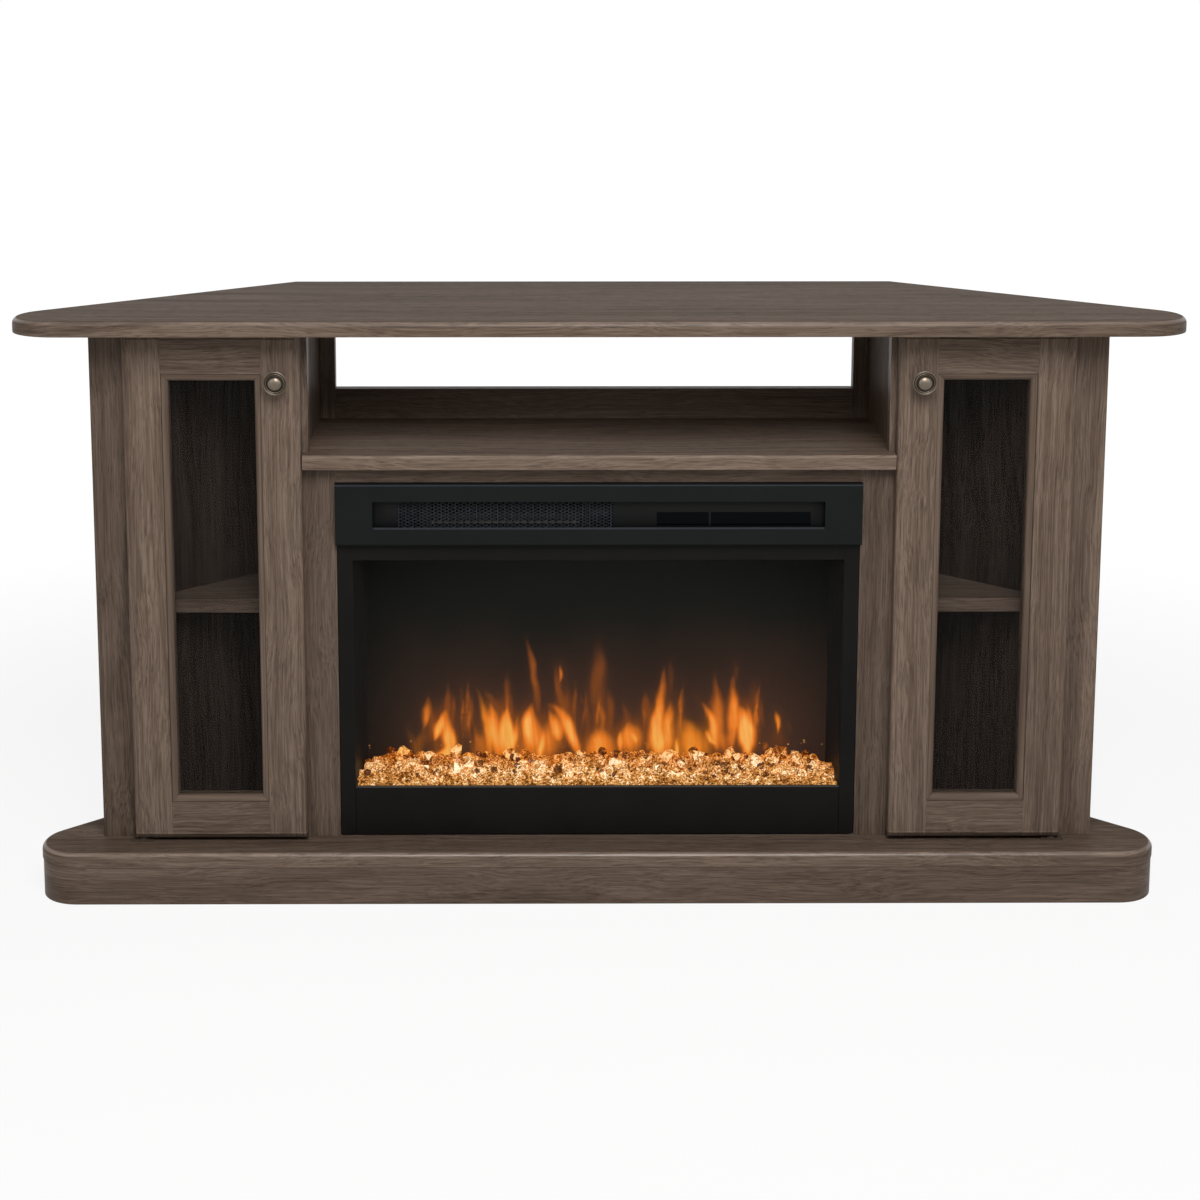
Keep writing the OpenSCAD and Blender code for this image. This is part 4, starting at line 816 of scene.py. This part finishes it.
class FIREPLACE_OT_firebox(bpy.types.Operator):
    """Paint of the hood, the frame and the case, and the window glass"""

    bl_idname = "fireplace.firebox"
    bl_label = "Firebox shell"

    def execute(self, context):
        look = context.scene.fireplace_metal
        for node, paint in (
                ("firebox_hood", self.hood_paint(look)),
                ("window_frame", painted_steel("frame_paint", look.trim)),
                ("lower_panel", painted_steel("sill_paint", look.trim,
                                              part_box("lower_panel")[1].z))):
            dress(nodes[node], paint)
            ease(node, look.edge)
        dress(nodes["firebox_case"], self.inside_paint(look))
        dress(nodes["window_glass"], pane("window_clear", tint(20, 20, 19), 0.04, 0.03))
        return {"FINISHED"}

    def hood_paint(self, look):
        """The hood's satin paint, with painted highlights as paler lines along its folded top edge
        and the slot's lower lip, painted shadow lines along its top and bottom edges, and the dull
        black plate that is sunk in its slot, darker towards the slot's bottom and ends as painted
        shade, with painted shadow in the gaps at the plate's ends."""
        low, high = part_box("firebox_hood")
        slot_half, plate_half, slot_sill = 0.283, 0.2815, low.z + 0.0217
        f = Finish("hood_paint")
        x, y, z = f.place()
        cloud, paint = satin_coat(f, look.hood)

        def line(at, half):
            """1 on a level line of half a given width, and 0 off it."""
            return 1 - (z - at).size().step(half * 0.6, half * 1.4)

        in_slot = 1 - x.size().step(slot_half - 0.001, slot_half + 0.001)
        # Painted highlights: paler lines along the folded top edge and the slot's lower lip
        wear_and_highlight = line(high.z - 0.0024, 0.0009).most(line(slot_sill, 0.0012) * in_slot)
        paint = f.mix(wear_and_highlight, paint, tint(47, 51, 56))
        # Painted shadow: near-black lines along the hood's top and bottom edges
        paint = f.mix(line(high.z, 0.0011).most(line(low.z, 0.0011)), paint, tint(5, 5, 5))
        # Painted shade: the sunk plate is darker towards the slot's bottom and ends, and near
        # black as painted shadow in the gaps beyond the plate's ends
        sunk = (y - low.y).step(0.0075, 0.0085)
        shade = (z - low.z).step(0.022, 0.05) * (1 - x.size().step(0.262, 0.281))
        plate = f.mix(shade, tint(8, 8, 8), tint(20, 20, 19))
        plate = f.mix(x.size().over(plate_half), plate, tint(2, 2, 2))
        return f.surface(f.mix(sunk, paint, plate), cloud * 0.12 + 0.5, 0.1,
                         (f.noise(f.point, 2, 0.6, PEBBLE), 0.3, 0.00012))

    def inside_paint(self, look):
        """Dark speckled paint, lighter than the case's own black as painted light, with painted
        shade lines at the folds of the liners beside the fire.
        """
        f = Finish("case_paint")
        _, y, _ = f.place()
        grit = f.noise(f.point, 2, 0.6, 1500)
        base = f.mix(grit.step(0.3, 0.7), times(look.inside, 0.8), times(look.inside, 1.2))
        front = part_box("window_glass")[1].y
        for depth in (0.006, 0.021, 0.037):
            # Painted shade: dark lines at the liners' folds
            fold_shade = 1 - (y - front - depth).size().step(0.0008, 0.0022)
            base = f.mix(fold_shade * 0.8, base, times(look.inside, 0.25))
        return f.surface(base, grit * 0.1 + 0.4, 0.12, (grit, 0.2, 0.0001))


class FIREPLACE_OT_heater(bpy.types.Operator):
    """The fine mesh, the heating coils behind it and the heater's housing"""

    bl_idname = "fireplace.heater"
    bl_label = "Heater"

    def execute(self, context):
        ready("heater_grille", "heater_element", "heater_housing")
        self.mesh(context.scene.fireplace_grille)
        self.coils()
        for node, name, rgb, roughness in (
                ("heater_element", "ceramic", tint(20, 18, 16), 0.7),
                ("heater_housing", "blackened_sheet", tint(13, 13, 13), 0.6)):
            dress(nodes[node], plain_part(name, rgb, roughness, shine=0.1))
        return {"FINISHED"}

    def mesh(self, look):
        """One hexagonal ring of wire, repeated up two staggered columns, then along."""
        low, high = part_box("heater_grille")
        pitch, column = look.pitch, look.pitch * 0.97
        tall = int((high.z - low.z) / pitch) + 1
        across = int((high.x - low.x) / (2 * column)) + 1
        start = Vector((low.x + column * 0.6, (low.y + high.y) / 2, low.z))
        cells = []
        for shift in (0, 1):
            deselect()
            bpy.ops.mesh.primitive_circle_add(
                vertices=6, radius=pitch / math.sqrt(3), fill_type="NGON",
                location=start + Vector((shift * column, 0, shift * pitch / 2)),
                rotation=(math.pi / 2, math.pi / 6, 0))
            cell = bpy.context.object
            bpy.ops.object.transform_apply(location=False, rotation=True, scale=False)
            cell.scale = (column / (pitch * math.sqrt(3) / 2), 1, 1)
            with editing(cell):
                bpy.ops.mesh.inset(thickness=look.web / 2, depth=0)
                bpy.ops.mesh.delete(type="FACE")
            repeat(cell, tall, 0, 0, pitch)
            cells.append(cell)
        piece = joined(cells)
        repeat(piece, across, 2 * column, 0, 0)
        pick(piece)
        apply_place()
        with editing(piece):
            for at, outward in (((low.x, 0, 0), (-1, 0, 0)), ((high.x, 0, 0), (1, 0, 0)),
                                ((0, 0, low.z), (0, 0, -1)), ((0, 0, high.z), (0, 0, 1))):
                select_all()
                bpy.ops.mesh.bisect(plane_co=at, plane_no=outward, clear_outer=True)
            select_all()
            bpy.ops.mesh.remove_doubles(threshold=0.00005)
        modify(piece, "SOLIDIFY", thickness=look.thickness, offset=0)
        f = Finish("mesh_wire")
        f.place()
        wear_and_highlight = f.noise(f.point, 3, 0.6, 160)
        base = f.mix(wear_and_highlight.step(0.35, 0.7), times(look.wire, 0.6), tuple(look.wire))
        wire = f.surface(base, wear_and_highlight * 0.2 + 0.45, 0.1, Metallic=0.25)
        settle(piece, "heater_mesh", "cabinet", wire, "black_steel", "heater_grille")

    def coils(self):
        """Heating wire wound round the ceramic's rods, as long springs."""
        low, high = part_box("heater_element")
        rows, turns, per_turn, winding, margin = 4, 42, 8, 0.0027, 0.008
        step = (high.z - low.z) / rows
        span = high.x - low.x - 2 * margin
        made = []
        for k in range(rows):
            curve = bpy.data.curves.new("coil", "CURVE")
            curve.dimensions, curve.use_fill_caps = "3D", True
            curve.bevel_depth, curve.bevel_resolution = 0.00045, 0
            line = curve.splines.new("POLY")
            line.points.add(turns * per_turn)
            for n, point in enumerate(line.points):
                a = 2 * math.pi * n / per_turn
                point.co = (low.x + margin + span * n / (turns * per_turn),
                            (low.y + high.y) / 2 + winding * math.cos(a),
                            low.z + (k + 0.5) * step + winding * math.sin(a), 1)
            pick(add("coil", curve))
            bpy.ops.object.convert(target="MESH")
            made.append(bpy.context.object)
        settle(joined(made), "heating_coils", "cabinet",
               bare_metal("heating_wire", tint(78, 66, 48), "X", 0.4, 900), "steel")
        self.reflector(low, high)

    def reflector(self, low, high):
        """The bright folded lip under the coils."""
        deselect()
        bpy.ops.mesh.primitive_cube_add(size=1, location=(
            (low.x + high.x) / 2, low.y - 0.001, low.z + 0.0035))
        piece = bpy.context.object
        piece.scale = (high.x - low.x - 0.02, 0.0022, 0.0024)
        apply_place()
        with editing(piece):
            bpy.ops.mesh.bevel(offset=0.0007, segments=3)
        settle(piece, "reflector_lip", "cabinet",
               bare_metal("reflector", tint(112, 102, 80), "X", 0.4, 900), "steel")


class FIREPLACE_OT_controls(bpy.types.Operator):
    """The two gloss panes of the control window and the pale seam between them"""

    bl_idname = "fireplace.controls"
    bl_label = "Control window"

    def execute(self, context):
        f = Finish("gloss_window")
        x, *_ = f.place()
        smear = f.noise(f.point, 3, 0.6, 60)
        seam_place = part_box("control_display")[0].x + 0.0695
        seam = 1 - (x - seam_place).size().step(0.0008, 0.0013)
        gloss = f.mix(smear, tint(4, 6, 9), tint(7, 8, 11))
        dress(nodes["control_display"], f.surface(
            f.mix(seam, gloss, tint(112, 112, 110)), smear * 0.06 + 0.06, 0.03))
        return {"FINISHED"}


class FIREPLACE_OT_embers(bpy.types.Operator):
    """The bed of glass: a glittering heap, small chips, clustered lumps and a few stones"""

    bl_idname = "fireplace.embers"
    bl_label = "Glass embers"

    def execute(self, context):
        ready("ember_bed")
        look = context.scene.fireplace_ember
        rng = random.Random(7)
        bed = nodes["ember_bed"]
        tree = BVHTree.FromPolygons([v.co for v in bed.data.vertices],
                                    [p.vertices for p in bed.data.polygons])
        low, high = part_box("ember_bed")
        glass = self.glass(look, low, high)
        dress(bed, glass)
        for name, seed, shapes, detail, count, size, sink in (
                ("ember_chips", 0, 5, 1, look.chips, look.chip, 0.3),
                ("ember_lumps", 20, 6, 2, look.lumps, look.lump, 0.1),
                ("ember_stones", 40, 4, 1, look.stones, look.lump * 0.8, 0.85)):
            kinds = [self.bit(seed + k, detail) for k in range(shapes)]
            group = self.scatter(kinds, count, size, rng, tree, low, high, sink, name)
            settle(group, name, "cabinet", glass, "ember_acrylic")
            for piece in kinds:
                bpy.data.objects.remove(piece)
        return {"FINISHED"}

    def bit(self, seed, detail):
        """A broken bit of glass: a ball pulled out of shape and cut flat on several sides."""
        rng = random.Random(seed)
        deselect()
        bpy.ops.mesh.primitive_ico_sphere_add(subdivisions=detail, radius=1)
        piece = bpy.context.object
        with editing(piece):
            bpy.ops.transform.vertex_random(offset=0.25 / detail, uniform=0.3, normal=0.4,
                                            seed=seed)
            for _ in range(3 + detail):
                way = Vector([rng.uniform(-1, 1) for _ in range(3)]).normalized()
                select_all()
                bpy.ops.mesh.bisect(plane_co=way * rng.uniform(0.5, 0.8), plane_no=way,
                                    clear_outer=True, use_fill=True)
            select_all()
            bpy.ops.mesh.dissolve_limited(angle_limit=math.radians(12))
        bpy.ops.object.shade_flat()
        return piece

    def scatter(self, kinds, count, size, rng, tree, low, high, sink, name):
        """Copies of a few bits, laid on the heap with their own turn, size and tone. Some of
        the stones are large and clear, and the others dark."""
        down, above = Vector((0, 0, -1)), high.z + 0.05
        copies = []
        for _ in range(count * 5):
            if len(copies) == count:
                break
            y = low.y + (high.y - low.y) * rng.random()
            x = rng.uniform(low.x + 0.004, high.x - 0.004)
            hit = tree.ray_cast(Vector((x, y, above)), down)[0]
            grown = size * rng.uniform(0.65, 1.3) * (1.35 if rng.random() < 0.12 else 1)
            clear = name == "ember_stones" and rng.random() < 0.4
            if clear:
                grown *= 1.45
            if hit is None or y - grown < low.y or y + grown > high.y + 0.002:
                continue
            copy = add("bit", kinds[rng.randrange(len(kinds))].data.copy())
            turn = Matrix.Rotation(rng.uniform(0, 6.28), 4, Vector(
                [rng.uniform(-1, 1) for _ in range(3)]).normalized())
            copy.data.transform(Matrix.Translation(hit + Vector((0, 0, grown * sink)))
                                @ turn @ Matrix.Diagonal((grown, grown * 0.85, grown * 0.75, 1)))
            tone, spread = rng.random(), 0.25 if name == "ember_lumps" else 0.5
            # A clear stone's faces spread far in tone, so some are bright: painted glints
            if name == "ember_stones":
                tone, spread = (0.9, 1.6) if clear else (-1.4, 0.9)
            kind = copy.data.attributes.new("kind", "FLOAT", "FACE")
            kind.data.foreach_set("value", [tone + spread * rng.uniform(-1, 1)
                                            for _ in copy.data.polygons])
            copies.append(copy)
        return joined(copies)

    def glass(self, look, low, high):
        """Lit amber glass made of glittering grains, paler in front and deep orange behind."""
        f = Finish("ember_glass")
        x, y, z = f.place()
        grains = f.vector(x / look.grit, y / look.grit, z / look.grit)
        spark = f.parts(f.cells(grains, output="Color"))[0]
        patch = f.noise(f.point, 2, 0.6, 75) - 0.5
        back = (y - low.y).step(0.002, high.y - low.y - 0.008)
        tone = spark * 0.74 + f.attribute("kind") * 0.3 + patch * 1.3 - back * 0.05 - 0.02
        base = f.ramp(tone, [(0.04, look.brown), (0.34, look.amber), (0.66, look.pale),
                             (0.9, look.clear)])
        lit = f.mix(back, base, f.shade(base, 0.86, 0.54, 0.22))
        return f.surface(f.mix(0.75, (0.0, 0.0, 0.0), lit), spark * 0.2 + 0.1, 0.2,
                         (spark, 0.6, 0.0008), Emission_Color=lit, Emission_Strength=look.glow)


SMOOTHING = 8


class FIREPLACE_OT_flames(bpy.types.Operator):
    """The screen that the flames are cast on, with their light"""

    bl_idname = "fireplace.flames"
    bl_label = "Flames"

    def execute(self, context):
        ready("flame_screen", "ember_bed")
        look = context.scene.fireplace_flame
        low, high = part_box("flame_screen")
        piece = self.sheet(low, high)
        self.cast_light(piece.data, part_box("ember_bed")[1].z - 0.005)
        settle(piece, "flame_sheet", "cabinet", self.glowing(look), "screen_acrylic",
               "flame_screen")
        return {"FINISHED"}

    def sheet(self, low, high):
        """A plate whose front is divided finely enough to carry the flames' light."""
        deselect()
        size = high - low
        bpy.ops.mesh.primitive_grid_add(
            x_subdivisions=int(size.x / 0.0018), y_subdivisions=int(size.z / 0.0028), size=1,
            location=((low.x + high.x) / 2, low.y, (low.z + high.z) / 2),
            rotation=(math.pi / 2, 0, 0))
        piece = bpy.context.object
        piece.scale = (size.x, size.z, 1)
        apply_place()
        with editing(piece):
            bpy.ops.mesh.region_to_loop()
            bpy.ops.mesh.extrude_edges_move(TRANSFORM_OT_translate={"value": (0, size.y, 0)})
            bpy.ops.mesh.edge_face_add()
            select_all()
            bpy.ops.mesh.normals_make_consistent(inside=False)
        return piece

    def cast_light(self, mesh, bed):
        """Adds up the light of all the tongues at each point of the sheet, as the strength of
        the blaze and how golden it is."""
        place = np.empty(len(mesh.vertices) * 3)
        mesh.vertices.foreach_get("co", place)
        x, rise = place[0::3] * 1000, (place[2::3] - bed) * 1000
        x = x + [2.6 * noise.noise(Vector((a * 0.06, b * 0.028, 3.1)))
                 + 1.3 * noise.noise(Vector((a * 0.19, b * 0.06, 7.7))) for a, b in zip(x, rise)]
        dark, gold, weight = np.ones(len(x)), np.zeros(len(x)), np.full(len(x), 1e-6)
        reach = 20
        for heat, warmth, *spine in (*TONGUES, *self.wisps(28)):
            light = np.zeros(len(x))
            near = np.flatnonzero((x > min(p[0] - p[2] * 3 for p in spine) - reach) &
                                  (x < max(p[0] + p[2] * 3 for p in spine) + reach))
            tip = 1.7 - 0.9 * heat
            for k, (sx, sz, half) in enumerate(self.smooth(spine)):
                t = k / (SMOOTHING * (len(spine) - 1))
                fade = min(1.0, 2.3 * t + 0.3) * min(1.0, 2.1 * (1 - t)) ** tip
                sz += max(0.0, sz - 20) * 0.2 + 4
                wide = half * (1.26 - 0.26 * heat) + 0.6
                across, up = x[near] - sx, rise[near] - sz
                sharp = np.exp(-((across ** 2 + up ** 2) / wide ** 2) ** 1.3)
                mist = np.exp(-(across / (wide + 8)) ** 2 - (up / (wide + 20)) ** 2) * 0.2
                light[near] = np.maximum(light[near], heat ** 1.9 * fade * (sharp + mist))
            dark *= 1 - light.clip(0, 0.9)
            gold += light * warmth
            weight += light
        for name, values in (("blaze", 1 - dark), ("gold", gold / weight)):
            mesh.attributes.new(name, "FLOAT", "POINT").data.foreach_set("value", values)

    def wisps(self, count):
        """Thin faint tongues that rise between and over the others."""
        rng = random.Random(11)
        for _ in range(count):
            foot, rise = rng.uniform(-205, 218), rng.uniform(-6, 34)
            tall, lean, half = rng.uniform(34, 78), rng.uniform(-9, 9), rng.uniform(1.0, 2.4)
            middle = foot + lean * 0.2 + rng.uniform(-2.5, 2.5)
            heat, warmth = rng.uniform(0.24, 0.46), rng.uniform(0.1, 0.8)
            yield (heat, warmth, (foot, rise, half * 0.5), (middle, rise + tall * 0.4, half),
                   (foot + lean * 0.6, rise + tall * 0.7, half * 0.7),
                   (foot + lean, rise + tall, 0.4))

    def smooth(self, spine):
        """Several steps between the points of a spine, on one smooth curve."""
        ends = [spine[0], *spine, spine[-1]]
        for a, b, c, d in zip(ends, ends[1:], ends[2:], ends[3:]):
            for k in range(SMOOTHING):
                t = k / SMOOTHING
                yield [0.5 * (2 * q + (r - p) * t + (2 * p - 5 * q + 4 * r - s) * t * t
                              + (3 * q - p - 3 * r + s) * t ** 3)
                       for p, q, r, s in zip(a, b, c, d)]

    def glowing(self, look):
        """Smoked acrylic that shows the flames and the haze of light around them, and is darker
        away from its middle as painted shade.
        """
        f = Finish("smoked_screen")
        x, y, z = f.place()
        flame, gold = f.attribute("blaze"), f.attribute("gold")
        cloud = f.noise(f.vector(x * 9, y, z * 5), 3, 0.6)
        ripple = f.noise(f.vector(x * 120 + z * 12, y, z * 14), 2, 0.6) - 0.5
        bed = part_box("ember_bed")[1].z
        up = 1 - (z - bed + (cloud - 0.5) * 0.1).step(0.0, 0.2)
        inward = 1 - (x - 0.02).size().step(0.17, 0.37)
        # Painted shade: the unlit screen is a quarter as bright away from its middle
        middle = 1 - ((x * 2.8) ** 2.0 + ((z - 0.26) * 4.6) ** 2.0).step(0.2, 1.3)
        unlit = f.mix(middle, times(look.screen, 0.25), tuple(look.screen))
        still = f.mix(up * inward * (cloud * 0.7 + 0.65), unlit, tuple(look.haze))
        power = flame * (ripple * 0.8 + 1.04)
        fire = f.ramp(power * 0.96, [(0.0, look.trace), (0.24, look.dim), (0.6, look.body),
                                     (1.0, look.core)])
        fire = f.mix(gold.step(0.35, 1.0) * 0.7, fire, f.shade(fire, 0.9, 1.1, 0.8))
        lit = f.mix(power.step(0.0, 0.22), still, fire)
        lit = f.mix(self.sparks(f, x, z, bed), lit, tuple(look.core))
        return f.surface((0.003, 0.0028, 0.0025), cloud * 0.1 + 0.3, 0.02,
                         Emission_Color=lit, Emission_Strength=look.bright)

    def sparks(self, f, x, z, bed):
        """Specks of light that the glass throws on the screen, just above the bed."""
        dot = 1 - f.cells(f.vector(x * 170, 0.0, z * 260)).step(0.08, 0.26)
        rare = f.noise(f.vector(x, 0.0, z), 1, 0.5, 90).step(0.56, 0.62)
        band = 1 - (z - bed - 0.011).size().step(0.004, 0.012)
        return dot * rare * band * 0.9


class FIREPLACE_OT_works(bpy.types.Operator):
    """Finishes of what turns, lights and holds inside"""

    bl_idname = "fireplace.works"
    bl_label = "Works and fittings"

    def execute(self, context):
        steel = tuple(context.scene.fireplace_metal.steel)
        for material, *names in (
                (bare_metal("zinc_plate", steel), "flicker_motor", "firebox_brackets",
                 "left_strike", "right_strike", "door_magnets"),
                (bare_metal("wheel_steel", tint(46, 46, 48), "X", 0.38, 240),
                 "blower_wheel", "blower_motor"),
                (bare_metal("steel_pins", tint(64, 61, 58), "Z", 0.4, 600), "shelf_pins"),
                (bare_metal("bright_foil", tint(214, 214, 218), "X", 0.16, 160),
                 "flicker_spindle"),
                (bare_metal("bright_brass", tint(190, 158, 98), "Z", 0.28, 700),
                 "left_bushes", "right_bushes"),
                # Painted shade: the pivots are a dark brown so that they read as shadow under the
                # doors
                (plain_part("shadow_brown_pivots", tint(74, 63, 54), 0.5, 900, 0.1), "door_pivots"),
                (plain_part("board_mask", tint(30, 84, 52), 0.35, 700), "led_board"),
                (plain_part("moulded_black", tint(24, 24, 25), 0.5, 1200), "power_gland")):
            for name in names:
                dress(nodes[name], material)
        return {"FINISHED"}


# ---------- the stage ----------

class FIREPLACE_OT_stage(bpy.types.Operator):
    """Floor, sky, lamps and camera"""

    bl_idname = "fireplace.stage"
    bl_label = "Stage"

    def execute(self, context):
        look = context.scene.fireplace_stage
        scene = context.scene
        scene.view_settings.view_transform = "Standard"
        deselect()
        bpy.ops.mesh.primitive_plane_add(size=30, location=(0, 0, -0.0004))
        floor = context.object
        floor.name = "floor"
        dress(floor, self.floor_paint())
        scene.world = self.sky(look)
        for name, place, size, power, mirrored in (
                ("lamp_left", (-2.3, -2.5, 1.75), 1.5, look.key, True),
                ("lamp_right", (2.3, -2.5, 1.75), 1.5, look.key, True),
                ("lamp_front", (0.25, -2.75, 2.75), 1.7, look.front, True),
                ("lamp_back", (0.0, 3.4, 0.3), 0.8, look.back, False)):
            self.lamp(name, place, size, power, mirrored)
        data = bpy.data.cameras.new("camera")
        data.lens, data.sensor_width = look.lens, 36
        data.shift_x, data.shift_y = 0.0452, -0.2
        scene.camera = add("camera", data)
        scene.camera.location = look.place
        scene.camera.rotation_euler = (math.pi / 2 - look.pitch, 0, -look.turn)
        return {"FINISHED"}

    def seen(self, f):
        """1 for what the camera sees, straight, in metal or through glass."""
        rays = f.node("ShaderNodeLightPath").outputs
        straight, mirrored, through = (Value(f, rays[f"Is {kind} Ray"])
                                       for kind in ("Camera", "Glossy", "Transmission"))
        return straight.most(mirrored).most(through)

    def floor_paint(self):
        """Pale paint that holds the piece's shadow, and is seen as plain white further off."""
        f = Finish("floor_paint")
        x, y, _ = f.place()
        wash = f.noise(f.point, 2, 0.5, 0.8)
        paint = f.value("ShaderNodeBsdfDiffuse", inputs={
            "Color": f.mix(wash, (0.86, 0.86, 0.86), (0.9, 0.9, 0.9))})
        white = f.value("ShaderNodeEmission", inputs={"Color": (1.0, 1.0, 1.0), "Strength": 1.03})
        far = (x ** 2.0 + y ** 2.0).root().step(0.9, 2.4)
        part = self.seen(f) * (far * 0.16 + 0.84)
        return f.ended(f.value("ShaderNodeMixShader", inputs={0: part, 1: paint, 2: white}))

    def sky(self, look):
        """Soft light from all round, which is seen as plain white."""
        f = Finish("studio", bpy.data.worlds.new("studio"))
        soft, white = (f.value("ShaderNodeBackground", inputs={"Color": rgb, "Strength": strength})
                       for rgb, strength in (((1, 0.985, 0.965), look.sky), ((1, 1, 1), 1.0)))
        return f.ended(f.value("ShaderNodeMixShader", inputs={
            0: self.seen(f), 1: soft, 2: white}), "World")

    def lamp(self, name, place, size, power, mirrored):
        """A soft square lamp that shines on the middle of the piece."""
        data = bpy.data.lights.new(name, "AREA")
        data.shape, data.size, data.energy = "SQUARE", size, power
        lamp = add(name, data)
        lamp.location, lamp.visible_glossy = place, mirrored
        lamp.rotation_euler = (Vector((0, 0, 0.35)) - Vector(place)).to_track_quat(
            "-Z", "Y").to_euler()


STEPS = (FIREPLACE_OT_boards, FIREPLACE_OT_round_boards, FIREPLACE_OT_doors, FIREPLACE_OT_knobs,
         FIREPLACE_OT_firebox, FIREPLACE_OT_heater, FIREPLACE_OT_controls, FIREPLACE_OT_embers,
         FIREPLACE_OT_flames, FIREPLACE_OT_works, FIREPLACE_OT_stage)


class FIREPLACE_PT_panel(bpy.types.Panel):
    """Lists the steps and their settings"""

    bl_label = "Corner fireplace"
    bl_space_type = "VIEW_3D"
    bl_region_type = "UI"
    bl_category = "Fireplace"

    def draw(self, context):
        for step in STEPS:
            self.layout.operator(step.bl_idname)
        for name, group in SETTINGS.items():
            box = self.layout.box()
            box.label(text=group.__doc__)
            for prop in group.__annotations__:
                box.prop(getattr(context.scene, name), prop)


def register():
    for group in SETTINGS.values():
        bpy.utils.register_class(group)
    for name, group in SETTINGS.items():
        setattr(bpy.types.Scene, name, PointerProperty(type=group))
    for made in (*STEPS, FIREPLACE_PT_panel):
        bpy.utils.register_class(made)


def unregister():
    for made in (FIREPLACE_PT_panel, *reversed(STEPS)):
        bpy.utils.unregister_class(made)
    for name in SETTINGS:
        delattr(bpy.types.Scene, name)
    for group in SETTINGS.values():
        bpy.utils.unregister_class(group)


def main():
    register()
    for step in STEPS:
        family, verb = step.bl_idname.split(".")
        getattr(getattr(bpy.ops, family), verb)()


if __name__ == "__main__":
    main()
